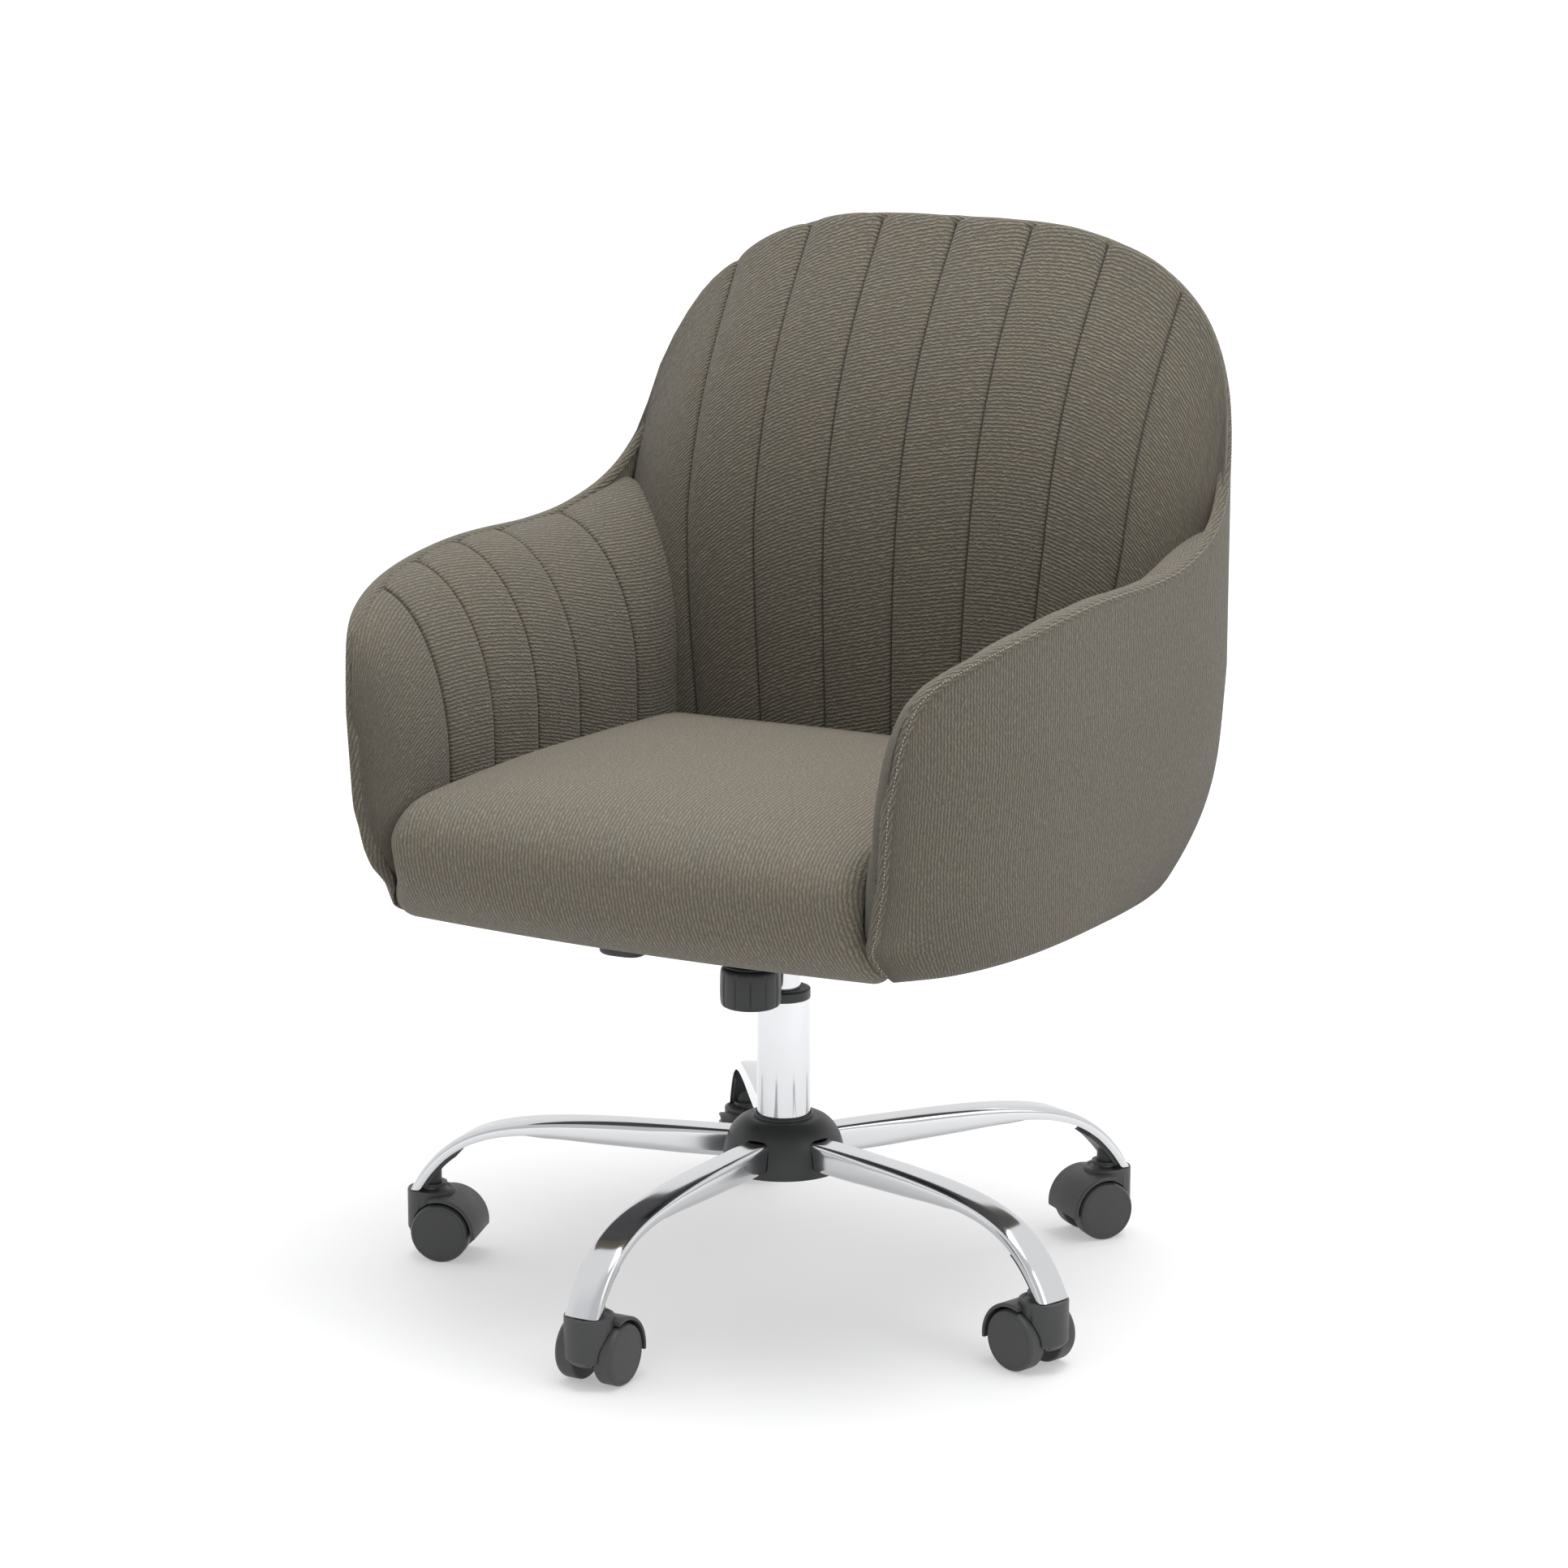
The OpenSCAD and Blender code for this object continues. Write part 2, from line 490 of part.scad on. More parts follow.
module seat_board() color([0.72, 0.6, 0.42]) translate([0, 0, board_z + 0.2]) difference() {
    half = [for (a = [front_a:2.5:90]) plan_pt(a, board_z, shell_t + soft_gap)];
    front = mid_y - 238;
    linear_extrude(board_t - 0.2) intersection() {
        polygon(concat(half, [for (i = [len(half) - 1:-1:0]) [-half[i][0], half[i][1]]]));
        translate([-300, front]) square([600, 600]);
    }
    for (x = [-bolt_x, bolt_x], y = bolt_y) translate([x, y, 0]) {
        translate([0, 0, -1]) cylinder(r = 3.2, h = 20);
        translate([0, 0, 2.2]) cylinder(r = 4.5, h = 20);
        translate([0, 0, board_t - 4.1]) cylinder(r = 9, h = 20);
    }
}
module dust_cover() color([0.1, 0.1, 0.1]) translate([0, 0, shell_z - 1.2]) difference() {
    half = [for (a = [front_a + 2:2.5:92]) plan_pt(min(a, 90), shell_z, 16)];
    linear_extrude(1.2) polygon(concat(half, [for (i = [len(half) - 1:-1:0]) [-half[i][0], half[i][1]]]));
    translate([-plate_w / 2 - 3, plate_y0 - 3, -1]) cube([plate_w + 6, plate_y1 - plate_y0 + 6, 4]);
}

// Soft band over the rim: up the front edge of each arm, then round the top of the shell
function band_at(a, z) = let (p = plan_pt(a, z, 0)) [p[0], p[1], z];
band_route = concat([for (z = [340:14:466]) [front_a, z]],
    [for (a = [front_a, -42.9, -42.3, -41.2, -39.5, -37, -33, -28, -20, -10, 0, 10, 18, 24, 29, 33, 36, 38.5,
        41, 43.5, 46, 49, 53, 58, 65, 76, 90]) [a, rim_z(a)]]);
function band_loop(i) = let (
    n = len(band_route) - 1, c = band_route[i],
    d0 = band_route[max(i - 1, 0)], d1 = band_route[min(i + 1, n)],
    along = unit(band_at(d1[0], d1[1]) - band_at(d0[0], d0[1])),
    p = band_at(c[0], c[1]), q = plan_pt(c[0], c[1], band_w),
    inward = unit([q[0] - p[0], q[1] - p[1], 0]),
    out = unit(cross(inward, along)), t = 3.2)
    [p - out * t, p - out * 0.4, p + inward * 1.5, p + inward * (band_w - 1.5),
     p + inward * band_w - out * 0.4, p + inward * band_w - out * t];
module rim_band() color([0.5, 0.48, 0.44])
    loft(both_sides([for (i = [0:len(band_route) - 1]) band_loop(i)]));

module seat_cushion() color([0.55, 0.52, 0.47]) {
    front = mid_y - 290;
    back = back_face_y - 8;
    // Front lip round the seat board, front roll, flat crown and back edge
    roll = smooth_path([[front + 48, shell_z + 1], [front + 26, shell_z + 3], [front + 9, shell_z + 22],
        [front, shell_z + 52], [front + 8, shell_z + 80], [front + 40, seat_z - 7], [front + 100, seat_z],
        [back - 80, seat_z - 3], [back - 12, seat_z - 10], [back, seat_z - 24]], 4);
    translate([-seat_w / 2 + 2, 0, 0]) rotate([90, 0, 90]) linear_extrude(seat_w - 4)
        polygon(concat(roll, [[back, cushion_z + 0.3], [front + 48, cushion_z + 0.3]]));
}
back_steps = [-262, -254, -240, -220, -190, -150, -100, -50, 0, 50, 100, 150, 190, 220, 240, 254, 262];
back_inset = shell_t + soft_gap + 1.5;
function back_pad_loop(x) = let (m = 11, top = rim_z(angle_of_x(x)) - rim_gap - 1) concat(
    [for (j = [0:m]) let (z = mix(cushion_z + 1, top, j / m), rear = wall_y(x, z, back_inset))
        [x, min(back_face(x, z), rear - 2), z]],
    [for (j = [m:-1:0]) let (z = mix(cushion_z + 1, top, j / m)) [x, wall_y(x, z, back_inset), z]]);
module back_pad() color([0.45, 0.43, 0.39]) loft([for (x = back_steps) back_pad_loop(x)]);

// Arm pad: loops from the front edge to the face of the back pad
arm_back_gap = 6;
function arm_pad_loop(s) = let (m = 11) concat(
    [for (j = [0:m]) arm_pad_pt(s, j / m, true)], [for (j = [m:-1:0]) arm_pad_pt(s, j / m, false)]);
function arm_pad_y(s, z) = let (x = back_steps[len(back_steps) - 1],
    stop = min(back_face(min(x, arm_face_x(190, z)), z), wall_y(x, z, back_inset) - 2))
    mix(front_y(z) + 5, stop - arm_back_gap, s);
function arm_pad_pt(s, t, inner) = let (
    y0 = arm_pad_y(s, 480), top = rim_z(angle_of_y(y0)) - rim_gap - 1,
    z = mix(cushion_z + 1, top, pow(t, 0.8)), y = arm_pad_y(s, z), rear = wall_x(y, z, shell_t + soft_gap))
    [inner ? min(arm_face_x(y, z), rear - 2) : rear, y, z];
module arm_pad(side) color([0.45, 0.43, 0.39]) mirror([side < 0 ? 1 : 0, 0, 0])
    loft([for (s = [0, 0.01, 0.03, 0.06, 0.1, 0.16, 0.25, 0.38, 0.52, 0.66, 0.8, 0.9, 1]) arm_pad_loop(s)]);

// ---------- parts list ----------
base_hub();
hub_cover();
for (k = [1:5]) {
    base_arm(k - 1);
    caster_housing(k - 1);
    caster_axle(k - 1);
    wheel(k - 1, -1);
    wheel(k - 1, 1);
}
stem_inserts();
caster_stems();
column_tube();
column_bushing();
thrust_bearing();
piston_rod();
retaining_clip();
pressure_tube();
rod_guide();
valve_pin();
taper_boss();
mech_tray();
tilt_axle();
tension_knob();
tension_bolt();
tension_spring();
spring_nut();
lever_slider();
lever_pin();
lever_rod();
lever_paddle();
mech_plate();
mech_bolts();
board_nuts();
seat_board();
outer_shell();
dust_cover();
rim_band();
seat_cushion();
back_pad();
arm_pad(1);  // arm_pad_left
arm_pad(-1);  // arm_pad_right
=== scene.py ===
import math
import bpy
import bmesh
import numpy as np
from mathutils import Vector, Matrix


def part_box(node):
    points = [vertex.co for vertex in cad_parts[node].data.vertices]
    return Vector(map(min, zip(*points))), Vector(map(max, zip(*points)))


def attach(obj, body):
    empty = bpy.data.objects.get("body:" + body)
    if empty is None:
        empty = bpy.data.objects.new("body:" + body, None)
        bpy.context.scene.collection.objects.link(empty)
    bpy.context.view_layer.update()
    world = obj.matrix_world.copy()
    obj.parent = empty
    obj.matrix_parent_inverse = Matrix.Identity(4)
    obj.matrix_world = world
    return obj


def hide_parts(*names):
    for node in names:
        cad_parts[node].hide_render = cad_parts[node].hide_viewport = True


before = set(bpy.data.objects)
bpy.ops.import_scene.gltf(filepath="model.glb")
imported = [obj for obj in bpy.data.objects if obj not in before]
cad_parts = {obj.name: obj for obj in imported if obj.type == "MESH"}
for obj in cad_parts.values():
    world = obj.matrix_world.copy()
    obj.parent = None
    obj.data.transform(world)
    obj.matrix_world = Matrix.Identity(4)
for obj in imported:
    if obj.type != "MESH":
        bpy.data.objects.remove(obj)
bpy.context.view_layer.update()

MM = 0.001

# ---------------------------------------------------------------- materials
def material(name, color, rough, metal=0.0):
    m = bpy.data.materials.new(name)
    m.use_nodes = True
    b = m.node_tree.nodes["Principled BSDF"]
    b.inputs["Base Color"].default_value = (*color, 1)
    b.inputs["Roughness"].default_value = rough
    b.inputs["Metallic"].default_value = metal
    return m


class Nodes:
    """Short way to build a node tree: each call returns the new node's first output."""

    def __init__(self, mat):
        self.tree = mat.node_tree
        self.bsdf = self.tree.nodes["Principled BSDF"]

    def put(self, node, key, value):
        if hasattr(value, "is_output"):
            self.tree.links.new(value, node.inputs[key])
        else:
            node.inputs[key].default_value = value

    def new(self, kind, out=0, props=None, **inputs):
        n = self.tree.nodes.new(kind)
        for k, v in (props or {}).items():
            setattr(n, k, v)
        for k, v in inputs.items():
            self.put(n, int(k[1:]) if k[0] == "_" and k[1:].isdigit() else k.replace("_", " "), v)
        return n.outputs[out]

    def math(self, op, a, b=0.0, clamp=False):
        return self.new("ShaderNodeMath", props={"operation": op, "use_clamp": clamp}, _0=a, _1=b)

    def noise(self, vec, scale, detail=2.0, rough=0.5):
        return self.new("ShaderNodeTexNoise", Vector=vec, Scale=scale, Detail=detail, Roughness=rough)

    def remap(self, v, a, b, c, d):
        return self.new("ShaderNodeMapRange", Value=v, From_Min=a, From_Max=b, To_Min=c, To_Max=d)

    def mix(self, f, a, b):
        n = self.tree.nodes.new("ShaderNodeMix")
        n.data_type = "RGBA"
        self.put(n, 0, f)
        self.put(n, 6, a)
        self.put(n, 7, b)
        return n.outputs[2]

    def scaled(self, vec, xyz):
        return self.new("ShaderNodeMapping", Vector=vec, Scale=xyz)

    def attr(self, name):
        n = self.tree.nodes.new("ShaderNodeAttribute")
        n.attribute_name = name
        return n.outputs["Vector"]

    def obj(self):
        return self.tree.nodes.new("ShaderNodeTexCoord").outputs["Object"]

    def bump(self, height, strength, distance):
        return self.new("ShaderNodeBump", Height=height, Strength=strength, Distance=distance)

    def set(self, **inputs):
        for k, v in inputs.items():
            self.put(self.bsdf, k.replace("_", " "), v)


RIB = 0.0033  # pitch of the fabric's ribs, in metres


def fabric(name, light=1.0):
    """Crepe weave. The attribute "weave" runs across the ribs in x and along them in y, in metres; the
    attribute "seam" is 1 in the stitched grooves."""
    m = material(name, (0.2, 0.18, 0.15), 0.9)
    n = Nodes(m)
    w = n.attr("weave")
    wave = n.new("ShaderNodeTexWave", out=1, props={"wave_type": "BANDS", "bands_direction": "X"}, Vector=w,
                 Scale=2 * math.pi / (20 * RIB), Distortion=3.6, Detail=2.5, Detail_Scale=2.6, Detail_Roughness=0.6)
    slub = n.noise(n.scaled(w, (1.0, 0.45, 1.0)), 420.0, 2.0, 0.6)
    yarn = n.noise(n.scaled(w, (0.5, 1.0, 1.0)), 1500.0, 1.0)
    crest = n.math("MULTIPLY", wave, n.remap(slub, 0.3, 0.75, 0.2, 1.15))
    height = n.math("ADD", crest, n.math("MULTIPLY", yarn, 0.4))
    patch = n.noise(w, 26.0, 3.0, 0.6)
    tint = n.noise(w, 75.0, 2.0, 0.6)

    # Every colour here is scaled by light. The seat's copy takes a higher value, which is painted light on its top.
    def lit_colour(*rgb):
        return (*[c * light for c in rgb], 1)

    base = n.mix(n.remap(patch, 0.35, 0.68, 0.0, 1.0), lit_colour(0.222, 0.190, 0.142), lit_colour(0.208, 0.190, 0.148))
    base = n.mix(n.remap(tint, 0.45, 0.75, 0.0, 0.3), base, lit_colour(0.222, 0.175, 0.138))
    # Painted shade: the colour darkens in the valleys between the ribs.
    base = n.mix(n.remap(height, 0.15, 0.85, 0.68, 0.0), base, lit_colour(0.055, 0.048, 0.036))
    # Painted highlight: the colour lightens on the rib crests.
    base = n.mix(n.remap(height, 0.75, 1.35, 0.0, 0.28), base, lit_colour(0.38, 0.345, 0.28))
    # Painted shade: the colour darkens in the stitched seam grooves.
    base = n.mix(n.math("MULTIPLY", n.attr("seam"), 0.32, clamp=True), base, lit_colour(0.020, 0.018, 0.015))
    n.set(Base_Color=base, Roughness=n.remap(yarn, 0.0, 1.0, 0.82, 0.98),
          Normal=n.bump(height, 1.0, 0.0011), Sheen_Weight=0.12, Sheen_Roughness=0.5, Specular_IOR_Level=0.2)
    return m


def dark_plastic(name, color, rough):
    m = material(name, color, rough)
    n = Nodes(m)
    o = n.obj()
    grain = n.noise(o, 2600.0, 2.0, 0.6)
    smear = n.noise(o, 38.0, 3.0, 0.6)
    n.set(Roughness=n.remap(smear, 0.3, 0.75, rough - 0.06, rough + 0.1),
          Normal=n.bump(grain, 0.12, 0.0003), Specular_IOR_Level=0.4,
          Base_Color=n.mix(smear, (*color, 1), (*[c * 1.18 + 0.002 for c in color], 1)))
    return m


def chrome_like(name, color, rough, scratch=0.02):
    m = material(name, color, rough, 1.0)
    n = Nodes(m)
    o = n.obj()
    smear = n.noise(o, 30.0, 3.0, 0.65)
    fine = n.noise(n.scaled(o, (1, 1, 6)), 500.0, 2.0)
    n.set(Roughness=n.remap(smear, 0.3, 0.8, rough, rough + scratch),
          Normal=n.bump(fine, 0.02, 0.0002))
    return m


FABRIC = fabric("woven upholstery", 0.68)
# Painted light: the seat cushion gets a lighter copy of the same fabric, standing in for the stronger light on its
# top.
FABRIC_SEAT_PAINTED_LIGHTER = fabric("woven upholstery, seat painted lighter", 0.84)
CHROME = chrome_like("chrome", (0.64, 0.645, 0.66), 0.11)
STEEL = chrome_like("zinc plated steel", (0.60, 0.60, 0.59), 0.30, 0.12)
BRASS = chrome_like("brass", (0.72, 0.55, 0.28), 0.28, 0.1)
BLACK = dark_plastic("satin black plastic", (0.030, 0.031, 0.031), 0.42)
CASTER = dark_plastic("caster nylon", (0.042, 0.043, 0.042), 0.46)
SHEET = dark_plastic("black powder-coated steel", (0.022, 0.022, 0.023), 0.5)
THREAD = material("cream thread", (0.62, 0.58, 0.48), 0.8)
LINING = material("black lining cloth", (0.018, 0.018, 0.018), 0.95)
PLY = material("plywood", (0.5, 0.36, 0.2), 0.7)


def finish_small_parts():
    """Grain of the thread, the lining cloth and the plywood."""
    n = Nodes(THREAD)
    o = n.obj()
    twist = n.noise(o, 1800.0, 1.0)
    n.set(Base_Color=n.mix(twist, (0.42, 0.39, 0.33, 1), (0.60, 0.56, 0.48, 1)),
          Normal=n.bump(twist, 0.3, 0.0003))
    n = Nodes(LINING)
    o = n.obj()
    fleck = n.noise(o, 900.0, 3.0, 0.7)
    n.set(Base_Color=n.mix(fleck, (0.05, 0.05, 0.052, 1), (0.11, 0.11, 0.112, 1)),
          Normal=n.bump(fleck, 0.4, 0.0004))
    n = Nodes(PLY)
    o = n.obj()
    grain = n.noise(n.scaled(o, (3.0, 60.0, 60.0)), 6.0, 4.0, 0.6)
    plies = n.new("ShaderNodeTexWave", out=1, props={"wave_type": "BANDS", "bands_direction": "Z"}, Vector=o,
                  Scale=130.0, Distortion=0.6)
    c = n.mix(grain, (0.62, 0.46, 0.27, 1), (0.46, 0.31, 0.16, 1))
    n.set(Base_Color=n.mix(n.math("MULTIPLY", plies, 0.35), c, (0.25, 0.16, 0.08, 1)),
          Normal=n.bump(grain, 0.2, 0.0006))


finish_small_parts()

# ---------------------------------------------------------------- surfaces of the bucket seat, in mm
RIM = np.array([[-43.4, 480], [-42, 526], [-39.4, 559], [-33, 579], [-22, 594], [-8, 602.5], [12, 602],
                [24, 609], [33.3, 629], [39, 666], [43.6, 727], [50, 788], [58, 827], [70, 848], [90, 852]], float)
SHELL_Z, HALF_W, MID_Y, FRONT_REACH, BACK_REACH, FRONT_A = 332.0, 297.0, 20.0, 372.6, 282.7, -43.4
BACK_N, FRONT_N = 7.0, 3.0  # powers of the rounded outline seen from above, behind and before MID_Y
TAPER = 0.042  # how far the sides close in towards the back
CORNER_HALF = HALF_W * 0.968  # half width at the back corners
BAND_W = 11.0


def arr(*v):
    """The values as arrays of one common shape."""
    return np.broadcast_arrays(*[np.asarray(a, float) for a in v])


def rim_z(a):
    """Height of the rim at angle a: a smooth curve through RIM."""
    a = np.asarray(a, float)
    x, y = RIM[:, 0], RIM[:, 1]
    i = np.clip(np.searchsorted(x, a, side="right") - 1, 0, len(x) - 2)
    lo, hi = np.maximum(np.arange(len(x)) - 1, 0), np.minimum(np.arange(len(x)) + 1, len(x) - 1)
    m = (y[hi] - y[lo]) / (x[hi] - x[lo])
    w = x[i + 1] - x[i]
    t = (a - x[i]) / w
    s = t * t * (3 - 2 * t)
    return y[i] * (1 - s) + y[i + 1] * s + w * t * (1 - t) * (m[i] * (1 - t) - m[i + 1] * t)


def tuck(z, h, p):
    """1 at the foot of the shell, falling to 0 at height h above it."""
    return np.maximum(0, 1 - np.maximum(0, z - SHELL_Z) / h) ** p


def width_k(z):
    return 1 - 0.045 * tuck(z, 170, 1.0)


def depth_k(z, back):
    return np.where(back, 1 - 0.46 * tuck(z, 142, 3.4), 1 - 0.155 * tuck(z, 110, 2.2))


def plan_pt(a, z, inset):
    """x and y of the outer wall at angle a (-90 front, 90 back) and height z, moved inwards by inset."""
    a, z, inset = arr(a, z, inset)
    back = a > 0
    n = np.where(back, BACK_N, FRONT_N)
    c, s = np.abs(np.cos(np.radians(a))), np.sin(np.radians(a))
    r = (c ** n + np.abs(s) ** n) ** (-1 / n)
    t = r * s
    taper = np.where(back, 1 - TAPER * t * t, 1.0)
    reach = np.where(back, BACK_REACH, FRONT_REACH) * depth_k(z, back)
    return r * c * (HALF_W * taper * width_k(z) - inset), MID_Y + t * (reach - inset)


def curl(p, a):
    """The front corners of the bucket pull in beside the foot of the cushion: moves points p at angles a."""
    z, a = p[..., 2], np.asarray(a, float)
    near = np.exp(-((a - FRONT_A) / 4.5) ** 2)
    q = p.copy()
    q[..., 0] -= np.interp(z, [330, 338, 351, 360, 368, 376, 392, 425], [7, 7.5, 12.5, 15, 12.5, 8.5, 4.5, 0]) * near
    q[..., 1] -= np.interp(z, [333, 345, 380, 410], [0, 5.5, 5.5, 0]) * near
    return q


def wall_x(y, z, inset=0.0):
    y, z = arr(y, z)
    back = y > MID_Y
    n = np.where(back, BACK_N, FRONT_N)
    t = np.abs(y - MID_Y) / (np.where(back, BACK_REACH, FRONT_REACH) * depth_k(z, back) - inset)
    taper = np.where(back, 1 - TAPER * t * t, 1.0)
    return (HALF_W * taper * width_k(z) - inset) * np.maximum(0, 1 - t ** n) ** (1 / n)


def wall_y(x, z, inset=0.0):
    q = np.minimum(0.995, np.abs(x) / (CORNER_HALF * width_k(z) - inset))
    return MID_Y + (BACK_REACH * depth_k(z, True) - inset) * (1 - q ** BACK_N) ** (1 / BACK_N)


def angle_of_y(y):
    y = np.asarray(y, float)
    back = y > MID_Y
    n = np.where(back, BACK_N, FRONT_N)
    t = (y - MID_Y) / np.where(back, BACK_REACH, FRONT_REACH)
    return np.maximum(FRONT_A, np.degrees(np.arctan2(t, np.maximum(0, 1 - np.abs(t) ** n) ** (1 / n))))


def angle_of_x(x):
    q = np.minimum(0.999, np.abs(x) / CORNER_HALF)
    return np.degrees(np.arctan2((1 - q ** BACK_N) ** (1 / BACK_N), q))


def front_y(z):
    return plan_pt(FRONT_A, z, 0)[1]


def arm_face(y, z, top):
    """x of the arm pad's inner face, which rolls in from the rim at height top."""
    u = np.clip((top - z) / 140, 0, 1)
    v = np.clip((y - front_y(z)) / (12 + 40 * np.clip((z - 375) / 70, 0, 1)), 0, 1)
    x = wall_x(y, z)
    return x - (x - 210) * np.sqrt(1 - (1 - u) ** 2) * np.sqrt(1 - (1 - v) ** 2)


def back_face(x, z, lift=0.0):
    """y of the back pad's front face."""
    top = rim_z(angle_of_x(x)) + lift
    y = wall_y(x, 852.0)
    u = np.clip((top - z) / 400, 0, 1)
    return y - (y - 181) * (1 - (1 - u) ** 3)


# ---------------------------------------------------------------- mesh helpers
def add_object(name, data):
    ob = bpy.data.objects.new(name, data)
    bpy.context.scene.collection.objects.link(ob)
    return ob


def mesh_obj(name, verts, faces, mat, smooth=True, sharp=None):
    me = bpy.data.meshes.new(name)
    me.from_pydata([tuple(v) for v in verts], [], faces)
    me.materials.append(mat)
    me.validate()
    bm = bmesh.new()
    bm.from_mesh(me)
    bmesh.ops.recalc_face_normals(bm, faces=bm.faces)
    bm.to_mesh(me)
    bm.free()
    ob = add_object(name, me)
    me.polygons.foreach_set("use_smooth", [smooth] * len(me.polygons))
    if sharp:
        me.set_sharp_from_angle(angle=math.radians(sharp))
    return ob


def turned(a, b, degrees, layer, shift=0.0):
    """Weave coordinates of points a and b mm along two directions, with the ribs turned by an angle."""
    c, s = math.cos(math.radians(degrees)), math.sin(math.radians(degrees))
    return np.stack(np.broadcast_arrays((a * c + b * s) * MM + shift, (b * c - a * s) * MM, layer), -1)


def signed_pow(v, e):
    return math.copysign(abs(v) ** e, v)


def weave(ob, coords, seam=None):
    """Stores what the fabric reads: its weave coordinates and where its seams run."""
    a = ob.data.attributes.new("weave", "FLOAT_VECTOR", "POINT")
    a.data.foreach_set("vector", np.asarray(coords, float).ravel())
    if seam is not None:
        a = ob.data.attributes.new("seam", "FLOAT_VECTOR", "POINT")
        a.data.foreach_set("vector", np.repeat(np.asarray(seam, float).ravel(), 3))


def grid_faces(nu, nv, close_u=False, close_v=False):
    """Faces of a grid of nu by nv points; either direction can close on itself."""
    out = []
    for i in range(nu if close_u else nu - 1):
        k = (i + 1) % nu
        for j in range(nv if close_v else nv - 1):
            m = (j + 1) % nv
            out.append((i * nv + j, k * nv + j, k * nv + m, i * nv + m))
    return out


def tube_faces(nu, nv):
    """Faces of nu rings of nv points, capped at both ends."""
    return grid_faces(nu, nv, close_v=True) + [tuple(range(nv)), tuple((nu - 1) * nv + j for j in range(nv))]


def slab_faces(nu, nv):
    """Faces of a front grid, of the back grid stored after it and of the strip that joins them, and the points
    of the front grid's edge."""
    off = nu * nv
    front = grid_faces(nu, nv)
    edge = [i * nv for i in range(nu)] + [(nu - 1) * nv + j for j in range(1, nv)]
    edge += [i * nv + nv - 1 for i in range(nu - 2, -1, -1)] + [j for j in range(nv - 2, 0, -1)]
    faces = front + [tuple(off + k for k in f[::-1]) for f in front]
    faces += [(b, a, off + a, off + b) for a, b in zip(edge, edge[1:] + edge[:1])]
    return faces, edge


def mirrored(half):
    """The rows of half followed by their mirror image in x, which shares the last row."""
    return np.concatenate([half, half[-2::-1] * np.array([-1, 1, 1])])


def merge_points(ob):
    bm = bmesh.new()
    bm.from_mesh(ob.data)
    bmesh.ops.remove_doubles(bm, verts=bm.verts, dist=1e-6)
    bmesh.ops.recalc_face_normals(bm, faces=bm.faces)
    bm.to_mesh(ob.data)
    bm.free()


def normals(p):
    """Unit normals of a grid of points p[i, j]."""
    du, dv = np.gradient(p, axis=0), np.gradient(p, axis=1)
    n = np.cross(du, dv)
    return n / np.maximum(np.linalg.norm(n, axis=2, keepdims=True), 1e-9)


def arc(p, axis):
    """Length along the grid p from its first row or column, in mm."""
    d = np.linalg.norm(np.diff(p, axis=axis), axis=2)
    z = np.zeros_like(np.take(d, [0], axis=axis))
    return np.concatenate([z, np.cumsum(d, axis=axis)], axis=axis)


def lathe(name, profile, mat, seg=96, sharp=32, at=(0, 0, 0), axis=None):
    """profile: (radius, height) points in mm; closed ring or, where it starts and ends on the axis, a solid."""
    prof = np.array(profile, float)
    on_axis = prof[0, 0] < 1e-6 and prof[-1, 0] < 1e-6
    angles = [2 * math.pi * i / seg for i in range(seg)]
    verts = [(r * math.cos(a), r * math.sin(a), z) for a in angles for r, z in prof]
    me = bpy.data.meshes.new(name)
    me.from_pydata(verts, [], grid_faces(seg, len(prof), True, not on_axis))
    bm = bmesh.new()
    bm.from_mesh(me)
    bmesh.ops.remove_doubles(bm, verts=bm.verts, dist=1e-4)
    bmesh.ops.recalc_face_normals(bm, faces=bm.faces)
    rot = Vector((0, 0, 1)).rotation_difference(Vector(axis)).to_matrix() if axis else Matrix.Identity(3)
    bmesh.ops.transform(bm, matrix=Matrix.Translation(Vector(at) * MM) @ rot.to_4x4() @ Matrix.Scale(MM, 4),
                        verts=bm.verts)
    bm.to_mesh(me)
    bm.free()
    me.materials.append(mat)
    ob = add_object(name, me)
    me.polygons.foreach_set("use_smooth", [True] * len(me.polygons))
    me.set_sharp_from_angle(angle=math.radians(sharp))
    return ob


def fillet(profile, radii, steps=4):
    """Rounds the corners of a closed outline; radii: {index: radius}."""
    out = []
    n = len(profile)
    for i, p in enumerate(profile):
        r = radii.get(i, 0)
        if not r:
            out.append(tuple(p))
            continue
        a, b, c = (np.array(profile[(i + d) % n], float) for d in (-1, 0, 1))
        u, v = (a - b), (c - b)
        lu, lv = np.linalg.norm(u), np.linalg.norm(v)
        u, v = u / lu, v / lv
        half = math.acos(max(-1, min(1, float(u @ v)))) / 2
        d = min(r / math.tan(half), lu * 0.49, lv * 0.49)
        p0, p1 = b + u * d, b + v * d
        for s in range(steps + 1):
            t = s / steps
            out.append(tuple((1 - t) ** 2 * p0 + 2 * t * (1 - t) * b + t * t * p1))
    return out


def apply_all(ob):
    """Bakes the modifiers into the mesh."""
    dg = bpy.context.evaluated_depsgraph_get()
    me = bpy.data.meshes.new_from_object(ob.evaluated_get(dg))
    ob.modifiers.clear()
    old = ob.data
    ob.data = me
    bpy.data.meshes.remove(old)


def boolean(ob, other, op):
    m = ob.modifiers.new("b", "BOOLEAN")
    m.operation = op
    m.solver = "EXACT"
    m.object = other
    bpy.context.view_layer.update()
    apply_all(ob)
    bpy.data.objects.remove(other)


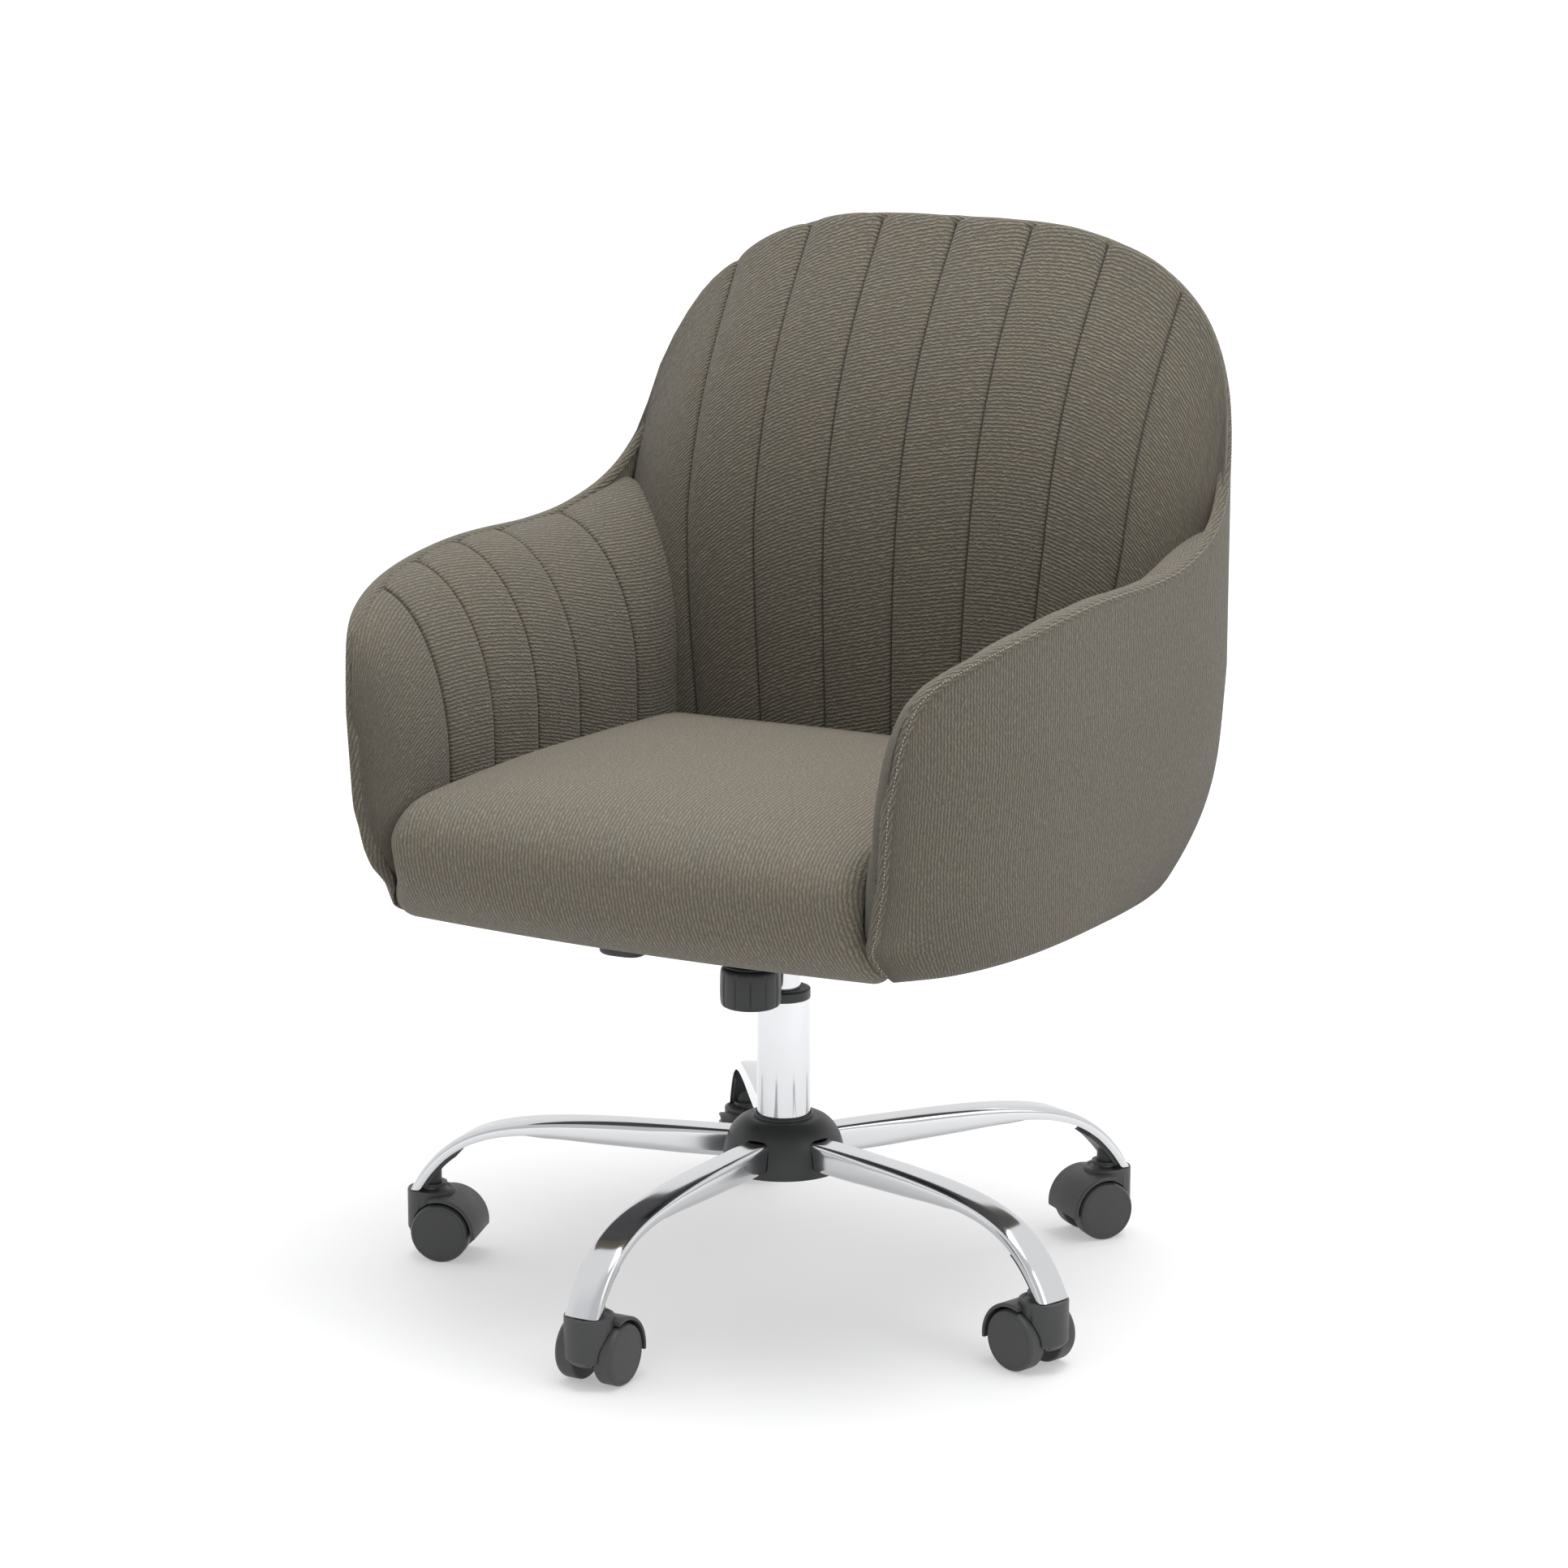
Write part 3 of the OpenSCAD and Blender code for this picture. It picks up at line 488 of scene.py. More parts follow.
def bevel(ob, width, segments, angle):
    m = ob.modifiers.new("bevel", "BEVEL")
    m.width = width * MM
    m.segments = segments
    m.limit_method = "ANGLE"
    m.angle_limit = math.radians(angle)
    m.harden_normals = False
    bpy.context.view_layer.update()
    apply_all(ob)
    ob.data.polygons.foreach_set("use_smooth", [True] * len(ob.data.polygons))
    ob.data.set_sharp_from_angle(angle=math.radians(40))


def prism(name, outline, depth, mat, at=(0, 0, 0), rot=None):
    """Outline (2-D, mm) in the local XY plane, extruded along local +Z by depth."""
    n = len(outline)
    verts = [(x, y, 0) for x, y in outline] + [(x, y, depth) for x, y in outline]
    faces = [tuple(range(n))[::-1], tuple(range(n, 2 * n))]
    faces += [(i, (i + 1) % n, n + (i + 1) % n, n + i) for i in range(n)]
    m = Matrix.Translation(Vector(at)) @ (rot.to_4x4() if rot else Matrix.Identity(4))
    verts = [(m @ Vector(v)) * MM for v in verts]
    return mesh_obj(name, verts, faces, mat, smooth=False)


def moved_copy(ob, name, matrix):
    c = add_object(name, ob.data.copy())
    c.data.transform(matrix)
    return c


def done(ob, body, slot, *nodes):
    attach(ob, body)
    if nodes:
        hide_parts(*nodes)


# ---------------------------------------------------------------- cloth
CLOTH_FRAMES = 20
PER_CHANNEL = 7  # simulated columns in one sewn channel


def puffed(p, back, pins, pressure=4.0, cap=7.0, mass=0.25):
    """Front grid p[i, j] in mm over a closed body whose other side is the grid back. The points in pins
    hold still. Returns how far each front point moves as air pushes the cloth out, in mm."""
    nu, nv = p.shape[:2]
    verts = np.concatenate([p.reshape(-1, 3), back.reshape(-1, 3)]) * MM
    off = nu * nv
    faces, edge = slab_faces(nu, nv)
    ob = mesh_obj("cloth sim", verts, faces, FABRIC)
    g = ob.vertex_groups.new(name="pin")
    hold = [int(i) for i in np.flatnonzero(pins.ravel())] + edge + list(range(off, 2 * off))
    g.add(hold, 1.0, "REPLACE")
    m = ob.modifiers.new("cloth", "CLOTH")
    s = m.settings
    s.quality = 6
    s.mass = mass
    s.tension_stiffness = s.compression_stiffness = 12
    s.shear_stiffness = 6
    s.bending_stiffness = 0.6
    s.air_damping = 2
    s.use_pressure = True
    s.uniform_pressure_force = pressure
    s.vertex_group_mass = "pin"
    s.pin_stiffness = 1.0
    s.effector_weights.gravity = 0
    m.collision_settings.use_collision = False
    m.collision_settings.use_self_collision = False
    m.point_cache.frame_start, m.point_cache.frame_end = 1, CLOTH_FRAMES
    sc = bpy.context.scene
    for f in range(1, CLOTH_FRAMES + 1):
        sc.frame_set(f)
    dg = bpy.context.evaluated_depsgraph_get()
    me = ob.evaluated_get(dg).to_mesh()
    q = np.empty(len(me.vertices) * 3)
    me.vertices.foreach_get("co", q)
    d = q.reshape(-1, 3)[:off].reshape(nu, nv, 3) / MM - p
    sc.frame_set(1)
    bpy.data.objects.remove(ob)
    size = np.linalg.norm(d, axis=2, keepdims=True)
    return d * np.where(size > 1e-6, cap * (1 - np.exp(-size / cap)) / np.maximum(size, 1e-6), 0)


def resample(d, ui, vi):
    """Smooth lookup of grid d at fractional indices ui, vi."""
    def lookup(a, t, axis):
        n = a.shape[axis]
        i = np.clip(np.floor(t).astype(int), 0, n - 2)
        f = (t - i)
        shape = [1] * a.ndim
        shape[axis] = -1
        f = f.reshape(shape)
        take = lambda k: np.take(a, np.clip(k, 0, n - 1), axis=axis)
        a0, a1, a2, a3 = take(i - 1), take(i), take(i + 1), take(i + 2)
        return 0.5 * (2 * a1 + (a2 - a0) * f + (2 * a0 - 5 * a1 + 4 * a2 - a3) * f ** 2
                      + (3 * a1 - a0 - 3 * a2 + a3) * f ** 3)
    return lookup(lookup(d, np.asarray(ui, float), 0), np.asarray(vi, float), 1)


def calm(d, passes=6):
    """Evens out small wrinkles of a displacement grid along its second axis."""
    for _ in range(passes):
        e = np.pad(d, ((0, 0), (1, 1), (0, 0)), mode="edge")
        d = 0.25 * e[:, :-2] + 0.5 * d + 0.25 * e[:, 2:]
    return d


def channel_puff(c):
    """Height of a stuffed channel across its width: c from 0 to 1, steep at the seams and flat between."""
    e = np.minimum(c, 1 - c)
    return 1 - np.exp(-e / 0.10)


def solid_from(name, p, back, mat, coords, seam=None):
    """Closed mesh from a fine front grid and its back grid."""
    faces, _ = slab_faces(*p.shape[:2])
    ob = mesh_obj(name, np.concatenate([p.reshape(-1, 3), back.reshape(-1, 3)]) * MM, faces, mat)
    weave(ob, np.concatenate([coords.reshape(-1, 3)] * 2), None if seam is None else np.tile(seam.ravel(), 2))
    return ob


# Columns of one channel, dense beside its two seams
CHANNEL = np.array([0, 0.007, 0.015, 0.027, 0.045, 0.075, 0.12, 0.19, 0.28, 0.39, 0.5, 0.61, 0.72, 0.81, 0.88, 0.925,
                    0.955, 0.973, 0.985, 0.993])
SEAM_W = 1.1  # half width of a seam groove, in mm


def channel_columns(count):
    return np.append(np.concatenate([k + CHANNEL for k in range(count)]), float(count))


def stuffed(grid, channels, sim_rows, fine_rows, axis):
    """A channelled pad: its channel coordinates, its fine grid, how far the cloth simulation moves each point
    with the seams held, and the normals, which face against the given axis."""
    p = grid(np.linspace(0, channels, channels * PER_CHANNEL + 1), np.linspace(0, 1, sim_rows))
    back = p.copy()
    back[:, :, axis] += 14
    seam = np.zeros(p.shape[:2], bool)
    seam[::PER_CHANNEL] = True
    d = puffed(p, back, seam, cap=5.0)
    cols, rows = channel_columns(channels), np.linspace(0, 1, fine_rows)
    fine = grid(cols, rows)
    n = normals(fine)
    n *= np.sign(-n[:, :, axis:axis + 1].mean())
    return cols, fine, calm(resample(d, cols * PER_CHANNEL, rows * (sim_rows - 1))), n


def groove(c, width):
    """Depth of the seam groove at fraction c of a channel of the given width, 1 at the seam."""
    e = np.minimum(c % 1, 1 - c % 1) * width
    return np.exp(-(e / SEAM_W) ** 2 * 1.6)


# ---------------------------------------------------------------- back pad
def back_edges(z):
    """Seam positions of the back pad at height z: nine values from -x to +x."""
    k = np.interp(z, [430, 600, 820], [63.5, 69.0, 71.0])
    outer = 283.5
    return [-outer, *[i * k for i in range(-3, 4)], outer]


def inner_half(z):
    """Half width between the arm pads' rear ends."""
    return CORNER_HALF * width_k(z) - 6 - 8 * np.clip((640 - z) / 60, 0, 1)


def back_grid(cols, rows):
    """cols: channel coordinate 0..8, rows: 0 at the rim .. 1 under the seat."""
    p = np.zeros((len(cols), len(rows), 3))
    for i, c in enumerate(cols):
        k = min(int(c), 7)
        f = c - k
        if k in (0, 7):
            # The outer channels close in on the corners of the back
            f = math.sin(f * math.pi / 2) if k == 7 else 1 - math.sin((1 - f) * math.pi / 2)
        x = np.zeros(len(rows))
        for _ in range(3):  # the rim's height depends on x, and x on the height
            top = rim_z(angle_of_x(x)) - 1.0
            z = top - (top - 362) * np.asarray(rows)
            e = [np.broadcast_to(v, z.shape) for v in back_edges(z)]
            x = e[k] + (e[k + 1] - e[k]) * f
        x = np.clip(x, -inner_half(z), inner_half(z))
        # The first stretch comes forward beside the rim band
        y = back_face(x, z, -1.0) - (BAND_W - 2) * np.exp((z - top) / 30) * 0.55
        p[i] = np.stack([x, y, z], 1)
    return p


def make_back():
    cols, fine, move, n = stuffed(back_grid, 8, 60, 190, 1)
    puff = channel_puff(cols % 1) * 2.6
    top = fine[:, :1, 2:3] - fine[:, :, 2:3]
    rise = 1 - np.exp(-top / 9.0)
    g = groove(cols, 66)
    out = fine + move * rise + n * (puff[:, None, None] * rise - g[:, None, None] * 1.8)
    # The stuffing rolls up over the rim between the seams
    lip = (1 - np.exp(-top[:, :, 0] / 3.0)) * np.exp(-top[:, :, 0] / 18.0)
    out[:, :, 2] += 12.0 * lip * (0.35 + 0.65 * channel_puff(cols % 1))[:, None]
    out[:, 0] = fine[:, 0]
    rear = fine.copy()
    lim = wall_y(fine[:, :, 0], fine[:, :, 2], 0.0) - 3
    out[:, :, 1] = np.minimum(out[:, :, 1], lim - 2)
    rear[:, :, 1] = np.maximum(np.minimum(fine[:, :, 1] + 26, lim - 7), np.minimum(out[:, :, 1] + 1, lim))
    s = arc(fine, 1)
    co = np.zeros_like(fine)
    for i, c in enumerate(cols):
        k = min(int(c), 7)
        tilt = np.interp(k, [0, 3, 5, 7], [14, 14, 7, 0])
        co[i] = turned(s[i], fine[i, :, 0], tilt, k * 0.37, k * 0.131)
    ob = solid_from("back_cushion", out, rear, FABRIC, co, np.repeat(g[:, None], fine.shape[1], 1))
    done(ob, "seat", "upholstery", "back_pad")


# ---------------------------------------------------------------- arm pads
ARM_SEAMS = [-170.0, -106.0, -40.0, 24.0, 116.0]  # y of the five seams, in mm


def arm_grid(cols, rows):
    """Sitter's left arm. cols: channel coordinate 0..6 from the front, rows: 0 at the rim .. 1 under the seat."""
    p = np.zeros((len(cols), len(rows), 3))
    t = 1 - np.cos(np.asarray(rows) * math.pi / 2)
    for i, c in enumerate(cols):
        k = min(int(c), 5)
        f = c - k
        lo = front_y(480.0) + 3 if k == 0 else ARM_SEAMS[k - 1]
        hi = ARM_SEAMS[k] if k < 5 else 196.0
        if k == 0:
            f = 1 - math.cos(f * math.pi / 2)
        y0 = lo + (hi - lo) * f
        top = float(rim_z(angle_of_y(y0))) - 2.0
        z = top - (top - 352) * t
        if k == 0:
            yf = front_y(z) + 3
            y = yf + (ARM_SEAMS[0] - yf) * f
        elif k == 5:
            x0 = arm_face(np.full_like(z, 190.0), z, float(rim_z(angle_of_y(190.0))))
            crease = back_face(np.minimum(262, x0), z) + 1
            y = ARM_SEAMS[4] + (crease - ARM_SEAMS[4]) * f
        else:
            y = np.full_like(z, y0)
        p[i, :, 0], p[i, :, 1], p[i, :, 2] = arm_face(y, z, top), y, z
    return p


def make_arms():
    cols, fine, move, n = stuffed(arm_grid, 6, 46, 150, 0)
    # The front edge has no seam
    front = cols < 0.5
    puff = channel_puff(np.where(front, 0.5, cols % 1)) * 2.4
    s, t = arc(fine, 1), arc(fine, 0)
    rise = (1 - np.exp(-s / 8.0)) * (1 - np.exp(-t / 8.0))
    g = groove(cols, 64)
    g[front] = 0
    out = fine + (move + n * puff[:, None, None]) * rise[:, :, None] - n * (g[:, None, None] * 2.1)
    out[:, :, 2] += 3.0 * (1 - np.exp(-s / 3.0)) * np.exp(-s / 14.0) * channel_puff(cols % 1)[:, None]
    rear = fine.copy()
    lim = wall_x(fine[:, :, 1], fine[:, :, 2], 0.0) - 3
    out[:, :, 0] = np.minimum(out[:, :, 0], lim - 2)
    rear[:, :, 0] = np.maximum(np.minimum(fine[:, :, 0] + 24, lim - 7), np.minimum(out[:, :, 0] + 1, lim))
    co = np.zeros_like(fine)
    for i, c in enumerate(cols):
        k = min(int(c), 5)
        co[i] = turned(s[i], t[i], -16 if k else 0, 3 + k * 0.29, k * 0.117)
    for side, name in ((1, "left"), (-1, "right")):
        flip = np.array([side, 1, 1])
        ob = solid_from("arm_cushion_" + name, out * flip, rear * flip, FABRIC, co + (0 if side > 0 else 7),
                        np.repeat(g[:, None], fine.shape[1], 1))
        done(ob, "seat", "upholstery", "arm_pad_" + name)


# ---------------------------------------------------------------- seat cushion
def smooth_line(pts, n):
    """Catmull-Rom through pts, n points spread evenly along its length."""
    p = np.array(pts, float)
    out = []
    for i in range(len(p) - 1):
        a, b, c, d = p[max(i - 1, 0)], p[i], p[i + 1], p[min(i + 2, len(p) - 1)]
        for t in np.linspace(0, 1, 24, endpoint=False):
            out.append(0.5 * (2 * b + (c - a) * t + (2 * a - 5 * b + 4 * c - d) * t * t
                              + (3 * b - a - 3 * c + d) * t ** 3))
    out.append(p[-1])
    out = np.array(out)
    s = np.concatenate([[0], np.cumsum(np.linalg.norm(np.diff(out, axis=0), axis=1))])
    q = np.linspace(0, s[-1], n)
    return np.stack([np.interp(q, s, out[:, k]) for k in range(out.shape[1])], axis=1)


CUSHION_R = 17.0  # radius of the cushion's side edges
SEAT_STEPS = 240
SEAT_SIM = (61, 84)
# y, z and half width along the cushion, from under the front edge over the top to the back
SEAT_LINE = [(-206, 335, 218), (-216, 332.5, 221), (-225, 332.5, 223), (-237, 338, 222.5), (-248, 348, 219),
             (-259, 364, 211.5), (-265, 383, 211.5), (-266, 403, 213.5), (-258, 419, 213), (-240, 430.5, 213),
             (-212, 436, 213), (-150, 438.5, 213), (-60, 438.5, 213), (30, 436, 213), (110, 433.5, 213),
             (158, 430, 213), (176, 424, 212), (184, 412, 211)]


def seat_grid(cols, rows):
    """cols: -1..1 across, rows: 0..1 along SEAT_LINE."""
    line = smooth_line(SEAT_LINE, SEAT_STEPS + 1)
    y, z, w = (np.interp(np.asarray(rows) * SEAT_STEPS, np.arange(SEAT_STEPS + 1), v) for v in line.T)
    dy, dz = np.gradient(y), np.gradient(z)
    ln = np.hypot(dy, dz)
    ny, nz = -dz / ln, dy / ln
    p = np.zeros((len(cols), len(rows), 3))
    r = CUSHION_R
    for i, c in enumerate(cols):
        # Within r of the side the skin turns down towards the inside
        a = abs(c)
        s = a * (w + r * (math.pi / 2 - 1))
        flat = w - r
        ang = np.clip((s - flat) / r, 0, math.pi / 2)
        x = np.minimum(s, flat) + r * np.sin(ang)
        drop = r * (1 - np.cos(ang))
        crown = 2.5 * (1 - (x / w) ** 2)
        p[i] = np.stack([np.sign(c) * x, y + ny * (crown - drop), z + nz * (crown - drop)], 1)
    return p


def make_seat():
    nu, nv = SEAT_SIM
    p = seat_grid(np.linspace(-1, 1, nu), np.linspace(0, 1, nv))
    centre, shrink = np.array([0, -40, 385.0]), np.array([0.93, 0.86, 0.6])
    back = centre + (p - centre) * shrink
    d = puffed(p, back, np.zeros(p.shape[:2], bool), pressure=3.0, cap=7.0, mass=0.4)
    cols, rows = np.linspace(-1, 1, 181), np.linspace(0, 1, 261)
    fine = seat_grid(cols, rows)
    d = calm(calm(d, 14).transpose(1, 0, 2), 14).transpose(1, 0, 2)
    hold = np.clip((1 - rows) / 0.09, 0, 1) * np.clip(rows / 0.06, 0, 1)
    out = fine + resample(d, (cols + 1) * (nu // 2), rows * (nv - 1)) * hold[None, :, None]
    # Nothing bulges through the arm pads, the back pad or the shell's front corners
    out[:, :, 0] = np.clip(out[:, :, 0], -224, 224)
    rear = centre + (fine - centre) * shrink
    t = arc(fine, 0)
    middle = len(cols) // 2
    co = turned(t - t[middle:middle + 1], arc(fine, 1), 9, 11)
    ob = solid_from("seat_cushion_cover", out, rear, FABRIC_SEAT_PAINTED_LIGHTER, co)
    done(ob, "seat", "upholstery", "seat_cushion")


# ---------------------------------------------------------------- shell and rim band
SHELL_T, SHELL_R = 8.0, 10.0  # wall thickness and radius of the lower edge


def make_shell():
    right = np.concatenate([np.linspace(FRONT_A + 0.35, -30, 34), np.linspace(-30, 30, 50)[1:],
                            np.linspace(30, 56, 66)[1:], np.linspace(56, 90, 40)[1:]])
    rows = []
    for a in right:
        top = float(rim_z(a)) - 2.0
        z = SHELL_Z + (top - SHELL_Z) * np.linspace(0, 1, 58) ** 1.15
        h = np.clip(SHELL_R - (z - SHELL_Z), 0, SHELL_R)
        x, y = plan_pt(a, z, SHELL_R - np.sqrt(SHELL_R ** 2 - h ** 2))
        outer = np.stack([x, y, z], 1)
        floor_z = SHELL_Z + SHELL_T
        z = floor_z + (top - floor_z) * np.linspace(1, 0, 16)
        x, y = plan_pt(a, z, SHELL_T)
        inner = np.stack([x, y, z], 1)
        x, y = plan_pt(a, SHELL_Z, np.array([34.0, 34.0, 24.0, 16.0]))
        foot = np.stack([x, y, [floor_z, SHELL_Z, SHELL_Z, SHELL_Z]], 1)
        rows.append(curl(np.concatenate([outer, inner, foot]), a))
    p = mirrored(np.array(rows))
    ob = mesh_obj("shell_cover", p.reshape(-1, 3) * MM, tube_faces(*p.shape[:2]), FABRIC, sharp=50)
    # The ribs stand upright: their spacing is measured round the wall at mid height
    weave(ob, turned(arc(p, 0)[:, 40:41], arc(p, 1), 0, 17))
    done(ob, "seat", "upholstery", "outer_shell")


def band_path(n):
    """(angle, height) pairs along the rim from the foot of the left arm's front edge to the middle of the back."""
    up = [(FRONT_A, z) for z in np.linspace(341, 474, 28)]
    over = [(a, float(rim_z(a))) for a in np.concatenate([
        np.linspace(FRONT_A, -42, 12), np.linspace(-42, -36, 20)[1:], np.linspace(-36, 20, 60)[1:],
        np.linspace(20, 60, 80)[1:], np.linspace(60, 90, 30)[1:]])]
    pts = up + over
    x, y = plan_pt([a for a, _ in pts], [z for _, z in pts], 0.0)
    p = np.stack([x, y, [z for _, z in pts]], 1)
    s = np.concatenate([[0], np.cumsum(np.linalg.norm(np.diff(p, axis=0), axis=1))])
    q = np.linspace(0, s[-1], n)
    return np.interp(q, s, [a for a, _ in pts]), np.interp(q, s, [z for _, z in pts]), q


def band_frames(n):
    """Points on the band's outer edge and, at each, unit vectors inwards, up from the rim and along it, and the
    length so far."""
    a, z, s = band_path(n)
    x, y = plan_pt(a, z, 0.0)
    p = curl(np.stack([x, y, z], 1), a)
    x, y = plan_pt(a, z, BAND_W)
    q = curl(np.stack([x, y, z], 1), a)
    inward = np.stack([q[:, 0] - p[:, 0], q[:, 1] - p[:, 1], 0 * x], 1)
    inward /= np.linalg.norm(inward, axis=1, keepdims=True)
    k = 9
    pad = np.pad(p, ((k, k), (0, 0)), mode="edge")
    along = pad[2 * k:] - pad[:-2 * k]
    along /= np.linalg.norm(along, axis=1, keepdims=True)
    out = np.cross(along, inward)
    out /= np.linalg.norm(out, axis=1, keepdims=True)
    return p, inward, out, along, s


def make_band():
    n = 520
    p, inward, out, along, s = band_frames(n)
    w = np.interp(s, [0, 14, 25, 36, 60, 250, 420], [2.0, 2.5, 7.0, 12.5, 14.0, 13.0, 10.0])
    sect = [(-0.02, -5.0), (-0.05, -2.0), (-0.02, -0.3), (0.08, 1.0), (0.26, 1.9), (0.5, 2.2), (0.74, 1.8),
            (0.90, 0.8), (0.97, -0.3), (1.0, -1.8), (1.0, -5.0)]
    deep = np.interp(s, [0, 16], [0.3, 1.0])
    q = mirrored(np.array([[p[i] + inward[i] * (f * w[i]) + out[i] * h * deep[i] for f, h in sect]
                           for i in range(n)]))
    ob = mesh_obj("rim_piping", q.reshape(-1, 3) * MM, tube_faces(*q.shape[:2]), FABRIC, sharp=60)
    weave(ob, turned(arc(q, 1), arc(q, 0)[:, 5:6], 20, 23))
    done(ob, "seat", "upholstery", "rim_band")
    make_stitches(p, inward, out, along, s)


def make_stitches(p, inward, out, along, s):
    """Short threads along the band's outer seam."""
    pitch, length, radius, rings, sides = 3.1, 1.4, 0.27, 5, 6
    verts, faces, n = [], [], len(p)
    for side in (1, -1):
        for k in range(int(s[-1] / pitch)):
            t = np.interp((k + 0.5) * pitch, s, np.arange(n))
            i = min(int(t), n - 2)
            c = p[i] + (p[i + 1] - p[i]) * (t - i) - inward[i] * 0.45 - out[i]
            no = -inward[i]
            up = np.cross(along[i], no)
            base = len(verts)
            for e in range(rings):
                u = (e / (rings - 1) - 0.5) * length
                r = radius * math.sqrt(max(0.05, 1 - (u / 0.8) ** 2))
                for g in range(sides):
                    b = 2 * math.pi * g / sides
                    v = c + along[i] * u + no * (r * math.cos(b) * 0.8 + 0.1) + up * r * math.sin(b)
                    verts.append((v[0] * side * MM, v[1] * MM, v[2] * MM))
            faces += [tuple(base + g for g in f) for f in tube_faces(rings, sides)]
    st = mesh_obj("rim_stitches", verts, faces, THREAD)
    done(st, "seat", "upholstery")


# ---------------------------------------------------------------- base
ARM_TOP = [(30, 127), (90, 128), (150, 128), (200, 125.5), (240, 119.5), (270, 109), (292, 94), (308, 76),
           (318, 59)]
ARM_LOW = [(30, 104), (90, 104.5), (150, 107), (200, 109.5), (236, 107), (262, 99.5), (281, 88), (295, 74),
           (306, 59)]


def make_arm_mesh():
    """One leg along +X: a rounded bar whose underside opens into a channel near the caster."""
    n, m, wall = 120, 40, 2.2
    top, low = smooth_line(ARM_TOP, n), smooth_line(ARM_LOW, n)
    mid = (top + low) / 2
    up = top - low
    h = np.linalg.norm(up, axis=1)
    up /= h[:, None]
    w = np.interp(mid[:, 0], [30, 220, 320], [23, 30, 30])
    hollow = np.clip((mid[:, 0] - 205) / 55, 0, 1)
    hollow = hollow * hollow * (3 - 2 * hollow)
    loops = []
    for i in range(n):
        half, hh = w[i] / 2, h[i] / 2
        e = 2.0 / np.interp(mid[i, 0], [30, 60, 110, 320], [8.0, 7.0, 4.6, 4.2])

        def section(a):
            return half * signed_pow(math.cos(a), e), hh * signed_pow(math.sin(a), e * 1.15)

        loop = [section(math.pi * (k / (m - 1) * 1.16 - 0.08)) for k in range(m)]
        for k in range(m - 2):
            f = (k + 1) / (m - 1)
            bx, bz = section(math.pi * (1.08 + f * 0.84))
            b = math.pi * (1 - f)
            ix = (half - wall) * signed_pow(math.cos(b), 0.45)
            iz = -hh * 0.55 + (2 * hh * 0.775 - wall * 0.9) * abs(math.sin(b)) ** 0.6
            loop.append((bx + (ix - bx) * hollow[i], bz + (iz - bz) * hollow[i]))
        loops.append([(mid[i, 0] + up[i, 0] * z, x, mid[i, 1] + up[i, 1] * z) for x, z in loop])
    q = np.array(loops)
    return mesh_obj("base_leg", q.reshape(-1, 3) * MM, tube_faces(*q.shape[:2]), CHROME, sharp=38)


def spin(k):
    """Turns +X to the direction of leg k."""
    return Matrix.Rotation(math.radians(-90 + 72 * k), 4, "Z")


def make_base():
    leg = make_arm_mesh()
    for k in range(5):
        c = moved_copy(leg, f"base_leg_{k + 1}", spin(k))
        done(c, "base", "chrome", f"base_arm_{k + 1}")
    bpy.data.objects.remove(leg)
    # Hub cover: a dome with a raised collar and five arched openings
    prof = [(50, 97.6)]
    prof += [(27 + 23 * math.cos(math.radians(t)), 106 + 34.4 * math.sin(math.radians(t))) for t in range(0, 91, 5)]
    prof += [(24.6, 140.4), (24.4, 142.2), (23.6, 142.9), (22.6, 142.9), (22.35, 142.4), (22.35, 138.6), (27, 138.0)]
    prof += [(30.5 + 17.1 * math.cos(math.radians(t)), 106 + 32 * math.sin(math.radians(t)))
             for t in range(90, -1, -6)]
    prof += [(47.6, 97.6)]
    cover = lathe("hub_dome", prof, BLACK, seg=160, sharp=30)
    rot = Matrix(((0, 0, 1), (1, 0, 0), (0, 1, 0)))
    arch = [(-12.3, 107.4), (-11.2, 105.3), (-9.2, 104.3), (9.2, 104.3), (11.2, 105.3), (12.3, 107.4)]
    arch += [(12.3 * signed_pow(math.cos(a), 0.5), 112 + 16.6 * math.sin(a) ** 0.6)
             for a in np.linspace(0.02, math.pi - 0.02, 25)]
    for k in range(5):
        cut = prism("cut", arch, 40, BLACK, at=(36.3, 0, 0), rot=rot)
        cut.data.transform(spin(k))
        boolean(cover, cut, "DIFFERENCE")
    bevel(cover, 0.7, 3, 35)
    done(cover, "base", "plastic_black", "hub_cover")


# ---------------------------------------------------------------- casters
CASTER_X = 0.303  # from the column to a caster's stem, in metres


def trim(ob, outline):
    """Cuts away from ob what lies within an (x, z) outline."""
    boolean(ob, prism("cut", outline, 80, CASTER, at=(0, -40, 0), rot=Matrix(((1, 0, 0), (0, 0, 1), (0, 1, 0)))),
            "DIFFERENCE")


